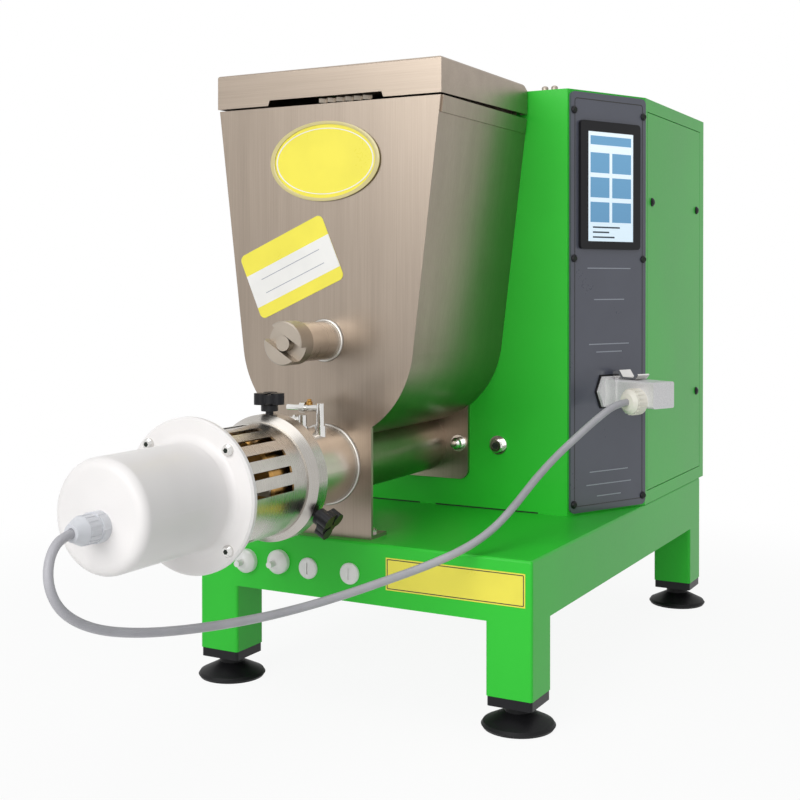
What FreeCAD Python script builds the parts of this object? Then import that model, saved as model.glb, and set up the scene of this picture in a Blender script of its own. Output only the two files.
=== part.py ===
import FreeCAD, Part
import math
import os

import Sketcher
from FreeCAD import Placement, Rotation, Vector

# Countertop pasta extruder. Sizes in millimetres, angles in degrees.
# Machine frame: X to the right, Y to the rear from the front face of the base, Z up from the floor.
SIZES = {
    # welded base
    "base_width": 305.0,
    "base_depth": 460.0,
    "base_top": 131.0,
    "top_sheet": 3.0,
    "leg_side": 38.0,
    "leg_bottom": 26.0,
    "tube_wall": 2.0,
    "rail_height": 45.6,
    "bend_radius": 2.5,
    # levelling feet
    "foot_radius": 28.5,
    "foot_neck_radius": 10.5,
    "foot_rim_height": 4.5,
    "foot_neck_height": 12.5,
    "foot_stem_radius": 5.0,
    "foot_stem_length": 30.0,
    "plug_lip": 7.5,
    "plug_depth": 14.0,
    # cabinet
    "cabinet_front": 182.0,
    "cabinet_rear": 470.0,
    "cabinet_top": 508.0,
    "cabinet_wall": 2.0,
    "chamfer_x": 110.0,
    "chamfer_y": 270.5,
    "cover_margin": 12.0,
    "cover_gap": 0.8,
    "rear_cover_sheet": 2.0,
    "screw_head_radius": 4.0,
    "screw_head_height": 2.2,
    "side_screw_front": 20.5,
    "side_screw_rear": 26.5,
    "side_screw_drop": 95.3,
    "side_screw_rise": 92.9,
    "inlet_side": 49.0,
    "inlet_rise": 64.0,
    "inlet_width": 27.8,
    "inlet_height": 47.8,
    "inlet_depth": 26.0,
    "inlet_gap": 0.1,
    # control panel
    "panel_margin": 2.0,
    "panel_sheet": 2.5,
    "panel_corner": 5.0,
    "bezel_width": 75.0,
    "bezel_height": 114.0,
    "bezel_drop": 141.0,
    "panel_screw_side": 5.5,
    "panel_screw_top": 18.5,
    "panel_screw_foot": 10.0,
    "panel_screw_step": 8.5,
    "bezel_depth": 3.0,
    "display_width": 56.5,
    "display_height": 97.6,
    "display_rise": 7.0,
    "display_glass": 2.0,
    # hopper
    "axis_x": -34.0,
    "barrel_z": 189.0,
    "hopper_front": 10.5,
    "hopper_sheet": 2.0,
    "front_sheet": 3.0,
    "rear_sheet": 4.0,
    "hopper_top": 483.0,
    "hopper_half_top": 105.5,
    "trough_radius": 81.5,
    "foot_half": 43.5,
    "foot_flange": 22.0,
    "auger_tube_radius": 27.0,
    "auger_bore": 24.6,
    "rear_plate_half": 49.0,
    "rear_plate_bottom": 157.0,
    "rim_band": 13.0,
    "rim_band_sheet": 1.2,
    # lid
    "lid_gap": 1.5,
    "lid_height": 28.5,
    "lid_sheet": 1.5,
    "lid_overhang": 1.2,
    "lid_pivot_back": 11.0,
    "lid_pivot_drop": 10.0,
    "lid_corner_cut": 9.0,
    "lid_notch_width": 107.0,
    "lid_notch_height": 4.5,
    "pin_radius": 3.0,
    "running_gap": 0.05,
    "ear_sheet": 3.0,
    # drive
    "shaft_radius": 9.0,
    "gear_module": 4.04,
    "auger_teeth": 20.0,
    "mixer_teeth": 30.0,
    "gear_face": 14.0,
    "gear_place": 216.0,
    "bearing_radius": 20.0,
    "bearing_length": 16.0,
    "motor_front": 244.0,
    "motor_length": 150.0,
    "gearbox_length": 62.0,
    "gearbox_width": 110.0,
    "motor_radius": 50.0,
    "bolt_spread": 78.0,
    # mixer
    "boss_radius": 15.5,
    "boss_end": -33.0,
    "bush_radius": 12.0,
    "cap_radius": 17.3,
    "cap_length": 19.0,
    "cap_groove": 13.0,
    "cap_groove_depth": 8.0,
    "cap_groove_lean": -32.0,
    "paddle_reach": 72.0,
    "paddle_width": 30.0,
    "paddle_sheet": 4.0,
    "rod_radius": 4.0,
    # auger and barrel
    "flight_radius": 24.3,
    "flight_pitch": 45.0,
    "flight_sheet": 4.0,
    "barrel_radius": 31.3,
    "barrel_end": -62.0,
    "flange_radius": 42.0,
    "flange_sheet": 12.0,
    "die_radius": 37.0,
    "die_length": 44.0,
    "die_holes": 8.0,
    "die_hole_radius": 4.0,
    # cutter
    "collar_radius": 48.2,
    "collar_length": 19.5,
    "collar_lead": 6.5,
    "guard_radius": 42.7,
    "guard_wall": 1.5,
    "disc_place": -162.0,
    "disc_sheet": 6.0,
    "disc_radius": 55.0,
    "cup_radius": 38.0,
    "cup_wall": 3.0,
    "cup_end": -259.0,
    "cup_round": 7.0,
    "slot_width": 4.8,
    "slot_start": 100.0,
    "slot_end": 150.0,
    "slots": 11.0,
    "outlet_start": 122.0,
    "outlet_half": 24.0,
    "blade_gap": 0.6,
    "blade_sheet": 1.5,
    "hub_radius": 11.0,
    "cutter_shaft_radius": 5.0,
    "cutter_motor_radius": 29.0,
    "cutter_motor_length": 70.0,
    "cutter_gearbox_length": 24.0,
    "cutter_shaft_grip": 10.0,
    "disc_fillet": 6.0,
    "disc_screw_circle": 48.6,
    "disc_screw_radius": 4.2,
    # clamp knobs
    "knob_head_radius": 12.5,
    "knob_head_height": 8.5,
    "knob_hub_radius": 6.5,
    "knob_hub_height": 6.5,
    "knob_stud_radius": 3.0,
    # connector
    "plug_place": 55.6,
    "plug_z": 239.4,
    "housing_length": 46.0,
    "housing_height": 27.0,
    "housing_sheet": 3.0,
    "housing_width": 30.0,
    "housing_reach": 18.0,
    "gasket_sheet": 1.2,
    "hood_width": 26.0,
    "hood_height": 23.0,
    "hood_reach": 62.0,
    "hood_gland_place": 44.0,
    "hood_gland_z": 233.5,
    "hood_gland_length": 14.0,
    "hood_gland_radius": 11.5,
    "lever_length": 34.0,
    "lever_width": 14.0,
    "lever_sheet": 1.6,
    "lever_pivot_rise": 4.2,
    "lever_pivot_out": 7.0,
    "lever_pin_radius": 1.5,
    # cord and its gland on the cutter
    "cord_radius": 3.1,
    "gland_drop": 5.0,
    "gland_shift": 2.0,
    "gland_hex": 21.0,
    "gland_nut_radius": 9.2,
    "gland_length": 25.5,
    # front fittings
    "fitting_drop": 26.0,
    "spigot_first": 10.9,
    "spigot_second": 43.0,
    "blank_first": 71.3,
    "blank_second": 110.5,
    "spigot_radius": 9.8,
    "spigot_reach": 9.0,
    "plug_radius": 8.6,
    "badge_width": 103.0,
    "badge_height": 64.0,
    "badge_z": 436.0,
    "badge_sheet": 1.0,
    "elbow_radius": 3.4,
    "elbow_side": 13.0,
    "elbow_place": -17.0,
    "elbow_rise": 48.5,
    "elbow_reach": 31.0,
    "elbow_tail_radius": 2.4,
    "ear_radius": 5.5,
    "ear_neck": 2.5,
    "ear_drop": 18.5,
    "ear_depth": 40.0,
    "ear_inset": 8.0,
    "notch_gap": 1.0,
}

doc = FreeCAD.newDocument("pasta_extruder")
sheet = doc.addObject("Spreadsheet::Sheet", "Sizes")
for row, (alias, number) in enumerate(SIZES.items(), start=1):
    sheet.set(f"A{row}", alias)
    sheet.set(f"B{row}", repr(number))
    sheet.setAlias(f"B{row}", alias)
doc.recompute()


class Size:
    """A length that keeps its number and the sheet formula it comes from."""

    def __init__(self, value, formula):
        self.value = value
        self.formula = formula

    @staticmethod
    def of(other):
        return other if isinstance(other, Size) else Size(float(other), f"({float(other)})")

    def join(self, sign, other, value):
        return Size(value, f"({self.formula} {sign} {other.formula})")

    def __add__(self, other):
        other = Size.of(other)
        return self.join("+", other, self.value + other.value)

    def __radd__(self, other):
        return Size.of(other) + self

    def __sub__(self, other):
        other = Size.of(other)
        return self.join("-", other, self.value - other.value)

    def __rsub__(self, other):
        return Size.of(other) - self

    def __mul__(self, other):
        other = Size.of(other)
        return self.join("*", other, self.value * other.value)

    def __rmul__(self, other):
        return Size.of(other) * self

    def __truediv__(self, other):
        other = Size.of(other)
        return self.join("/", other, self.value / other.value)

    def __neg__(self):
        return Size(-self.value, f"(0 - {self.formula})")

    def function(self, name, value):
        return Size(value, f"{name}({self.formula})")

    def sin(self):
        return self.function("sin", math.sin(math.radians(self.value)))

    def cos(self):
        return self.function("cos", math.cos(math.radians(self.value)))

    def root(self):
        return self.function("sqrt", math.sqrt(self.value))


class Sizes:
    """Every alias of the sheet as a Size."""

    def __init__(self):
        for alias, number in SIZES.items():
            setattr(self, alias, Size(number, f"Sizes.{alias}"))


S = Sizes()
ZERO = Size(0.0, "0")
UPRIGHT = Rotation()
FORWARD = Rotation(Vector(1, 0, 0), 90)
SUBPARTS = []
DARK_SCREWS = []
BRIGHT_FIXINGS = []


def bind(thing, field, size):
    """Set a field and tie it to its formula on the sheet."""
    size = Size.of(size)
    if "." not in field:
        setattr(thing, field, size.value)
    thing.setExpression(field, size.formula)


def place(thing, point, rotation=UPRIGHT):
    thing.Placement = Placement(Vector(*[Size.of(value).value for value in point]), rotation)
    for axis, value in zip("xyz", point):
        bind(thing, f"Placement.Base.{axis}", value)


def subpart(thing, name):
    thing.Label = name
    SUBPARTS.append(thing)
    return thing


def new_body(name):
    return doc.addObject("PartDesign::Body", name + "_body")


def origin_plane(body, role):
    return [feature for feature in body.Origin.OriginFeatures if feature.Role == role][0]


def new_sketch(body, name, role, offset=None):
    """A sketch on one of the body's own planes, moved along that plane's normal."""
    sketch = body.newObject("Sketcher::SketchObject", name)
    sketch.AttachmentSupport = [(origin_plane(body, role), "")]
    sketch.MapMode = "FlatFace"
    if offset is not None:
        bind(sketch, "AttachmentOffset.Base.z", offset)
    return sketch


def hold(sketch, kind, where, size):
    """A driving distance of a sketch point from the sketch origin, or a radius."""
    size = Size.of(size)
    if kind != "Radius" and abs(size.value) < 1e-9 and "Sizes" not in size.formula:
        axis = -2 if kind == "DistanceX" else -1
        sketch.addConstraint(Sketcher.Constraint("PointOnObject", where[0], where[1], axis))
        return
    if kind == "Radius":
        index = sketch.addConstraint(Sketcher.Constraint(kind, where, size.value))
    else:
        index = sketch.addConstraint(Sketcher.Constraint(kind, -1, 1, where[0], where[1], size.value))
    sketch.renameConstraint(index, f"size{index}")
    sketch.setExpression(f"Constraints.size{index}", size.formula)


def outline(sketch, corners):
    """A closed outline. A corner is (x, y), or (x, y, radius, turn) where an arc leaves it:
    turn 1 bulges to the right of the way round, turn -1 to the left."""
    count = len(corners)
    spots = [Vector(Size.of(c[0]).value, Size.of(c[1]).value, 0) for c in corners]
    ends = []
    for index, corner in enumerate(corners):
        start = spots[index]
        stop = spots[(index + 1) % count]
        if len(corner) == 2:
            edge = sketch.addGeometry(Part.LineSegment(start, stop), False)
            ends.append((edge, 1, 2))
            continue
        radius = Size.of(corner[2]).value
        chord = stop - start
        rise = math.sqrt(max(radius ** 2 - (chord.Length / 2) ** 2, 0.0))
        left = Vector(-chord.y, chord.x, 0).normalize()
        centre = (start + stop) / 2 + left * rise * corner[3]
        first, last = (start, stop) if corner[3] > 0 else (stop, start)
        angles = [math.atan2(p.y - centre.y, p.x - centre.x) for p in (first, last)]
        circle = Part.Circle(centre, Vector(0, 0, 1), radius)
        edge = sketch.addGeometry(Part.ArcOfCircle(circle, angles[0], angles[1]), False)
        ends.append((edge, 1, 2) if corner[3] > 0 else (edge, 2, 1))
    for index, corner in enumerate(corners):
        edge, begin, finish = ends[index]
        following = ends[(index + 1) % count]
        sketch.addConstraint(Sketcher.Constraint("Coincident", edge, finish, following[0], following[1]))
        hold(sketch, "DistanceX", (edge, begin), corner[0])
        hold(sketch, "DistanceY", (edge, begin), corner[1])
        if len(corner) > 2:
            hold(sketch, "Radius", edge, corner[2])
    return sketch


def ring(sketch, radius, x=ZERO, y=ZERO):
    """A circle held by its centre and radius."""
    centre = Vector(Size.of(x).value, Size.of(y).value, 0)
    edge = sketch.addGeometry(Part.Circle(centre, Vector(0, 0, 1), Size.of(radius).value), False)
    hold(sketch, "DistanceX", (edge, 3), x)
    hold(sketch, "DistanceY", (edge, 3), y)
    hold(sketch, "Radius", edge, radius)
    return sketch


def box_corners(x0, y0, x1, y1):
    return [(x0, y0), (x1, y0), (x1, y1), (x0, y1)]


def pad(body, sketch, length, both=False, back=False):
    feature = body.newObject("PartDesign::Pad", sketch.Name + "_pad")
    feature.Profile = sketch
    bind(feature, "Length", length)
    feature.Midplane = both
    feature.Reversed = back
    sketch.Visibility = False
    doc.recompute()
    return feature


def pocket(body, sketch, length, both=False, back=False):
    """Cut a sketch into the body, and make sure that it removes something."""
    before = body.Shape.Volume
    feature = body.newObject("PartDesign::Pocket", sketch.Name + "_pocket")
    feature.Profile = sketch
    bind(feature, "Length", length)
    feature.Midplane = both
    feature.Reversed = back
    doc.recompute()
    if not body.Shape.Volume < before - 1e-6:
        raise ValueError(f"{feature.Name} cuts nothing")
    return feature


def turned(body, sketch, kind="Revolution", angle=360.0):
    """Turn a sketch about its own vertical axis."""
    feature = body.newObject("PartDesign::" + kind, sketch.Name + "_turned")
    feature.Profile = sketch
    feature.ReferenceAxis = (sketch, ["V_Axis"])
    feature.Angle = angle
    doc.recompute()
    return feature


def around(body, feature, count, angle=360.0):
    """Repeat a feature about the body's Z axis."""
    pattern = body.newObject("PartDesign::PolarPattern", feature.Name + "_around")
    pattern.Originals = [feature]
    pattern.Axis = (origin_plane(body, "Z_Axis"), [""])
    pattern.Angle = angle
    pattern.Occurrences = int(round(Size.of(count).value))
    body.Tip = pattern
    doc.recompute()
    return pattern


def edges_where(shape, test):
    """Names of the straight or round edges whose middle point passes the test."""
    names = []
    for number, edge in enumerate(shape.Edges, start=1):
        middle = edge.valueAt((edge.FirstParameter + edge.LastParameter) / 2)
        if test(edge, middle):
            names.append(f"Edge{number}")
    return names


def along(axis):
    """A test for straight edges along one axis."""
    def test(edge, middle):
        if edge.Curve.TypeId != "Part::GeomLine":
            return False
        return abs(getattr(edge.tangentAt(edge.FirstParameter), axis)) > 0.999
    return test


def rounded(body, radius, test, kind="Fillet"):
    base = body.Tip
    names = edges_where(base.Shape, test)
    feature = body.newObject("PartDesign::" + kind, f"{base.Name}_{kind.lower()}")
    feature.Base = (base, names)
    bind(feature, "Radius" if kind == "Fillet" else "Size", radius)
    doc.recompute()
    return feature


def prism(name, role, corners, length, both=False, back=False, offset=None):
    body = new_body(name)
    sketch = outline(new_sketch(body, name + "_outline", role, offset), corners)
    pad(body, sketch, length, both, back)
    return body


def lathe(name, corners):
    """A round piece from half its section, drawn in XZ and turned about Z."""
    body = new_body(name)
    turned(body, outline(new_sketch(body, name + "_section", "XZ_Plane"), corners))
    return body


def cylinder(name, radius, height):
    shape = doc.addObject("Part::Cylinder", name)
    bind(shape, "Radius", radius)
    bind(shape, "Height", height)
    return shape


def box(name, length, width, height, corner=(ZERO, ZERO, ZERO)):
    shape = doc.addObject("Part::Box", name)
    bind(shape, "Length", length)
    bind(shape, "Width", width)
    bind(shape, "Height", height)
    place(shape, corner)
    return shape


def cut(name, base, tool):
    shape = doc.addObject("Part::Cut", name)
    shape.Base = base
    shape.Tool = tool
    return shape


def fuse(name, pieces):
    shape = doc.addObject("Part::MultiFuse", name)
    shape.Shapes = pieces
    shape.Refine = True
    return shape


def group(name, pieces):
    """Separate solids that share one node."""
    shape = doc.addObject("Part::Compound", name + "_set")
    shape.Links = pieces
    return subpart(shape, name)


half_width = S.base_width / 2
mixer_z = S.barrel_z + S.gear_module * (S.auger_teeth + S.mixer_teeth) / 2

# The cut corner of the cabinet, which the control panel lies on
chamfer_run_x = half_width - S.chamfer_x
chamfer_run_y = S.chamfer_y - S.cabinet_front
chamfer_length = (chamfer_run_x * chamfer_run_x + chamfer_run_y * chamfer_run_y).root()
along_x = chamfer_run_x / chamfer_length
along_y = chamfer_run_y / chamfer_length
panel_turn = math.degrees(math.atan2(chamfer_run_y.value, chamfer_run_x.value))
PANEL = Rotation(Vector(0, 0, 1), panel_turn) * FORWARD

# Extents of the machine without its cord, so that their middle lies over the origin
front_end = S.cup_end - S.gland_length
rear_end = S.cabinet_rear + S.rear_cover_sheet
middle_y = (front_end + rear_end) / 2
lever_tip = S.panel_sheet + S.gasket_sheet + S.lever_length + 1
right_end = S.chamfer_x + along_x * (S.plug_place + S.lever_width / 2) + along_y * lever_tip
middle_x = (right_end - half_width - S.screw_head_height) / 2


def at(x, y, z):
    """A point of the machine frame in the part's own frame."""
    return (Size.of(x) - middle_x, Size.of(y) - middle_y, Size.of(z))


# Welded base: four square tube legs, four rails between them and a folded top sheet, all one weldment
def make_base():
    top = prism("base_top", "XY_Plane", box_corners(-half_width, ZERO, half_width, S.base_depth), S.top_sheet)
    rounded(top, S.bend_radius, along("z"))
    rounded(top, S.bend_radius * 0.9, lambda edge, middle: middle.z > S.top_sheet.value - 0.01)
    place(top, (ZERO, ZERO, S.base_top - S.top_sheet))

    frame_top = S.base_top - S.top_sheet
    leg_height = frame_top - S.leg_bottom
    legs = []
    for name, x, y in (
        ("front_left", -half_width, ZERO),
        ("front_right", half_width - S.leg_side, ZERO),
        ("rear_left", -half_width, S.base_depth - S.leg_side),
        ("rear_right", half_width - S.leg_side, S.base_depth - S.leg_side),
    ):
        leg = prism(f"leg_{name}", "XY_Plane", box_corners(ZERO, ZERO, S.leg_side, S.leg_side), leg_height)
        rounded(leg, S.bend_radius, along("z"))
        inside = new_sketch(leg, f"leg_{name}_bore", "XY_Plane")
        reach = S.leg_side - S.tube_wall
        outline(inside, box_corners(S.tube_wall, S.tube_wall, reach, reach))
        pocket(leg, inside, leg_height, back=True)
        place(leg, (x, y, S.leg_bottom))
        legs.append(leg)

    rail_z = frame_top - S.rail_height
    wall = S.tube_wall
    grip = S.leg_side - S.bend_radius - 0.5
    across = S.base_width - 2 * grip
    deep = S.base_depth - 2 * grip
    low = S.rail_height - wall
    rails = []
    for name, role, length, corner in (
        ("front_rail", "YZ_Plane", across, (-half_width + grip, ZERO)),
        ("rear_rail", "YZ_Plane", across, (-half_width + grip, S.base_depth - S.leg_side)),
        ("left_rail", "XZ_Plane", deep, (-half_width, S.base_depth - grip)),
        ("right_rail", "XZ_Plane", deep, (half_width - S.leg_side, S.base_depth - grip)),
    ):
        rail = prism(name, role, box_corners(ZERO, ZERO, S.leg_side, S.rail_height), length)
        hollow = outline(new_sketch(rail, name + "_hollow", role), box_corners(wall, -wall, S.leg_side - wall, low))
        pocket(rail, hollow, length, back=True)
        place(rail, (*corner, rail_z))
        rails.append(rail)
    welded = fuse("base_weldment", [top, *legs, *rails])
    place(welded, at(0, 0, 0))
    subpart(welded, "welded_base")


# Levelling feet: a bell on a threaded stem, turning in a plug at the foot of each leg
def make_feet():
    half = S.leg_side / 2
    spots = (
        ("front_left", -half_width + half, half),
        ("front_right", half_width - half, half),
        ("rear_left", -half_width + half, S.base_depth - half),
        ("rear_right", half_width - half, S.base_depth - half),
    )
    plugs = []
    bore = S.foot_stem_radius + S.running_gap
    for name, x, y in spots:
        plug = new_body(f"plug_{name}")
        lip = outline(new_sketch(plug, f"plug_{name}_lip", "XY_Plane"),
                      box_corners(-half + 0.6, -half + 0.6, half - 0.6, half - 0.6))
        pad(plug, lip, S.plug_lip)
        rounded(plug, S.bend_radius, along("z"))
        reach = half - S.tube_wall
        spigot = outline(new_sketch(plug, f"plug_{name}_spigot", "XY_Plane", S.plug_lip),
                         box_corners(-reach, -reach, reach, reach))
        pad(plug, spigot, S.plug_depth)
        hole = ring(new_sketch(plug, f"plug_{name}_hole", "XY_Plane"), bore)
        pocket(plug, hole, S.plug_lip + S.plug_depth, back=True)
        place(plug, at(x, y, S.leg_bottom - S.plug_lip))
        plugs.append(plug)

        stem_top = S.foot_neck_height + S.foot_stem_length
        neck_top = S.leg_bottom - S.plug_lip - 0.3
        foot = lathe(f"foot_{name}", [
            (ZERO, ZERO),
            (S.foot_radius - 1.5, ZERO),
            (S.foot_radius, S.foot_rim_height / 2),
            (S.foot_radius - 1.5, S.foot_rim_height),
            (S.foot_neck_radius, S.foot_neck_height),
            (S.foot_neck_radius, neck_top),
            (S.foot_stem_radius, neck_top),
            (S.foot_stem_radius, stem_top),
            (ZERO, stem_top),
        ])
        place(foot, at(x, y, 0))
        subpart(foot, f"foot_{name}")
    group("leg_plugs", plugs)


def on_panel(across, up, out):
    """A point given across the panel from its left edge, up from the floor and out of its face."""
    x = S.chamfer_x + along_x * across + along_y * out
    y = S.cabinet_front + along_y * across - along_x * out
    return at(x, y, up)


def pan_head(radius):
    """Half section of a screw's domed head."""
    return [
        (ZERO, ZERO),
        (radius, ZERO),
        (radius, S.screw_head_height * 0.4),
        (radius * 0.6, S.screw_head_height),
        (ZERO, S.screw_head_height),
    ]


# Cabinet of folded sheet with one corner cut back for the panel
def make_cabinet():
    height = S.cabinet_top - S.base_top
    shell = prism("cabinet", "XY_Plane", [
        (-half_width, S.cabinet_front),
        (S.chamfer_x, S.cabinet_front),
        (half_width, S.chamfer_y),
        (half_width, S.cabinet_rear),
        (-half_width, S.cabinet_rear),
    ], height)
    wall = S.cabinet_wall
    inside = new_sketch(shell, "cabinet_inside", "XY_Plane")
    outline(inside, [
        (-half_width + wall, S.cabinet_front + wall),
        (S.chamfer_x - wall * (1 - along_x) / along_y, S.cabinet_front + wall),
        (half_width - wall, S.cabinet_front + ((half_width - wall - S.chamfer_x) * along_y + wall) / along_x),
        (half_width - wall, S.cabinet_rear + 1),
        (-half_width + wall, S.cabinet_rear + 1),
    ])
    pocket(shell, inside, height - wall, back=True)
    side = new_sketch(shell, "side_opening", "YZ_Plane", half_width)
    outline(side, box_corners(
        S.chamfer_y + S.cover_margin / 2, S.cover_margin,
        S.cabinet_rear - S.cover_margin, height - S.cover_margin))
    pocket(shell, side, S.cabinet_wall * 2, both=True)
    shafts = new_sketch(shell, "shaft_holes", "XZ_Plane", -S.cabinet_front)
    ring(shafts, S.shaft_radius + 1, S.axis_x, S.barrel_z - S.base_top)
    ring(shafts, S.shaft_radius + 1, S.axis_x, mixer_z - S.base_top)
    pocket(shell, shafts, S.cabinet_wall * 2, both=True)
    place(shell, at(0, 0, S.base_top))
    subpart(shell, "cabinet_shell")

    cover = prism("side_cover_sheet", "YZ_Plane", box_corners(
        S.chamfer_y + S.cover_margin / 2 + S.cover_gap, S.cover_margin + S.cover_gap,
        S.cabinet_rear - S.cover_margin - S.cover_gap, height - S.cover_margin - S.cover_gap), S.cabinet_wall)
    lips = prism("side_cover_lips", "YZ_Plane", box_corners(
        S.chamfer_y + S.cabinet_wall, S.cover_margin / 3, S.cabinet_rear - S.cover_margin / 3, height - S.cover_margin / 3),
        S.cabinet_wall)
    place(cover, (-S.cabinet_wall, ZERO, ZERO))
    place(lips, (-2 * S.cabinet_wall, ZERO, ZERO))
    both = fuse("side_cover_both", [cover, lips])
    place(both, at(half_width, 0, S.base_top))
    subpart(both, "side_cover")

    rows = (S.cabinet_top - S.side_screw_drop, S.base_top + S.side_screw_rise)
    columns = (S.chamfer_y + S.side_screw_front, S.cabinet_rear - S.side_screw_rear)
    for side, turn in ((1, 90), (-1, -90)):
        for number, (y, z) in enumerate((y, z) for y in columns for z in rows):
            screw = lathe(f"side_screw_{side + 1}_{number}", pan_head(S.screw_head_radius))
            place(screw, at(side * half_width, y, z), Rotation(Vector(0, 1, 0), turn))
            DARK_SCREWS.append(screw)

    rear = prism("rear_sheet_metal", "XZ_Plane", box_corners(-half_width, ZERO, half_width, height),
                 S.rear_cover_sheet)
    louvre = new_sketch(rear, "louvre", "XZ_Plane")
    outline(louvre, box_corners(-half_width * 0.5, height * 0.55, half_width * 0.5, height * 0.55 + 5))
    slit = pocket(rear, louvre, S.rear_cover_sheet, back=True)
    rows = rear.newObject("PartDesign::LinearPattern", "louvre_rows")
    rows.Originals = [slit]
    rows.Direction = (origin_plane(rear, "Z_Axis"), [""])
    rows.Length = 84
    rows.Occurrences = 8
    rear.Tip = rows
    doc.recompute()
    half_inlet = S.inlet_width / 2
    tall_inlet = S.inlet_height / 2
    inlet_x = half_width - S.inlet_side
    inlet_hole = new_sketch(rear, "inlet_hole", "XZ_Plane")
    outline(inlet_hole, box_corners(
        inlet_x - half_inlet - S.inlet_gap, S.inlet_rise - tall_inlet - S.inlet_gap,
        inlet_x + half_inlet + S.inlet_gap, S.inlet_rise + tall_inlet + S.inlet_gap))
    pocket(rear, inlet_hole, S.rear_cover_sheet, back=True)
    place(rear, at(0, S.cabinet_rear + S.rear_cover_sheet, S.base_top))
    subpart(rear, "rear_cover")

    inlet = prism("inlet_block", "XZ_Plane", box_corners(-half_inlet, -tall_inlet, half_inlet, tall_inlet),
                  S.inlet_depth)
    socket = outline(new_sketch(inlet, "inlet_socket", "XZ_Plane", ZERO), box_corners(
        -half_inlet + 2.9, -tall_inlet + 3.9, half_inlet - 2.9, Size.of(-3.0)))
    pocket(inlet, socket, S.inlet_depth - 10, back=True)
    rocker_low = Size.of(4.0)
    rocker_high = tall_inlet - 3.9
    rocker_hole = outline(new_sketch(inlet, "rocker_hole", "XZ_Plane", ZERO), box_corners(
        -half_inlet + 5.7, rocker_low, half_inlet - 5.7, rocker_high))
    pocket(inlet, rocker_hole, S.inlet_depth - 10, back=True)
    axle = ring(new_sketch(inlet, "rocker_axle_hole", "YZ_Plane"), S.lever_pin_radius + S.running_gap,
                Size.of(-4.0), (rocker_low + rocker_high) / 2)
    pocket(inlet, axle, S.inlet_width - 4, both=True)
    place(inlet, at(inlet_x, S.cabinet_rear + S.rear_cover_sheet, S.base_top + S.inlet_rise))
    subpart(inlet, "mains_inlet")

    tall = (rocker_high - rocker_low) / 2 - 0.8
    rocker = prism("rocker", "YZ_Plane", [
        (Size.of(-6.0), -tall * 0.6),
        (Size.of(-3.0), -tall),
        (Size.of(1.2), -tall),
        (Size.of(-0.4), ZERO),
        (Size.of(-1.8), tall),
        (Size.of(-4.0), tall),
        (Size.of(-6.0), tall * 0.6),
    ], S.inlet_width - 12.0, both=True)
    axle = ring(new_sketch(rocker, "rocker_axle", "YZ_Plane"), S.lever_pin_radius, Size.of(-4.0), ZERO)
    pad(rocker, axle, S.inlet_width - 5, both=True)
    place(rocker, at(inlet_x, S.cabinet_rear + S.rear_cover_sheet,
                     S.base_top + S.inlet_rise + (rocker_low + rocker_high) / 2))
    subpart(rocker, "mains_rocker")


# Control panel on the cut corner, with its screen
def make_panel():
    height = S.cabinet_top - S.base_top
    left = S.panel_margin
    right = chamfer_length - S.panel_margin
    panel = prism("panel_sheet_metal", "XY_Plane", box_corners(left, left, right, height - left), S.panel_sheet)
    rounded(panel, S.panel_corner, along("z"))
    place(panel, on_panel(0, S.base_top, 0.0), PANEL)
    subpart(panel, "control_panel")

    bezel_bottom = S.cabinet_top - S.bezel_drop
    sides = (S.panel_screw_side, chamfer_length - S.panel_screw_side)
    rows = (S.cabinet_top - S.panel_screw_top, bezel_bottom - S.panel_screw_step, S.base_top + S.panel_screw_foot)
    for number, (across, z) in enumerate((across, z) for across in sides for z in rows):
        screw = lathe(f"panel_screw_{number}", pan_head(S.screw_head_radius * 0.85))
        place(screw, on_panel(across, z, S.panel_sheet), PANEL)
        DARK_SCREWS.append(screw)
    group("dark_screws", DARK_SCREWS)

    centre = chamfer_length / 2 - 0.6
    bezel = prism("bezel", "XY_Plane", box_corners(
        centre - S.bezel_width / 2, bezel_bottom, centre + S.bezel_width / 2, bezel_bottom + S.bezel_height),
        S.bezel_depth)
    rounded(bezel, S.panel_corner * 0.7, along("z"))
    window = outline(new_sketch(bezel, "window", "XY_Plane", S.bezel_depth), box_corners(
        centre - S.display_width / 2, (bezel_bottom + S.display_rise),
        centre + S.display_width / 2, (bezel_bottom + S.display_rise) + S.display_height))
    pocket(bezel, window, S.display_glass)
    place(bezel, on_panel(0, 0, S.panel_sheet), PANEL)
    subpart(bezel, "screen_bezel")

    glass = prism("display", "XY_Plane", box_corners(
        centre - S.display_width / 2, (bezel_bottom + S.display_rise),
        centre + S.display_width / 2, (bezel_bottom + S.display_rise) + S.display_height), S.display_glass - 0.3)
    place(glass, on_panel(0, 0, S.panel_sheet + S.bezel_depth - S.display_glass), PANEL)
    subpart(glass, "screen_display")


# Outline of the hopper about its own axis: straight flanks tangent to the round trough
hopper_rise = S.hopper_top - mixer_z


def flank_angle(radius, half_top):
    """Degrees below level of the point where a flank meets the trough."""
    reach = math.hypot(half_top.value, hopper_rise.value)
    lean = math.degrees(math.atan2(hopper_rise.value, half_top.value))
    return lean - math.degrees(math.acos(radius.value / reach))


def flank_point(radius, half_top):
    angle = math.radians(flank_angle(radius, half_top))
    return Size.of(radius.value * math.cos(angle)), mixer_z + radius.value * math.sin(angle)


def plate_corners(foot_half, bottom):
    """Front or rear plate: flanks, trough arc, then a straight foot."""
    x, z = flank_point(S.trough_radius, S.hopper_half_top)
    drop = mixer_z - (S.trough_radius * S.trough_radius - foot_half * foot_half).root()
    return [
        (-S.hopper_half_top, S.hopper_top),
        (-x, z, S.trough_radius, 1),
        (-foot_half, drop),
        (-foot_half, bottom),
        (foot_half, bottom),
        (foot_half, drop, S.trough_radius, 1),
        (x, z),
        (S.hopper_half_top, S.hopper_top),
    ]


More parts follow.
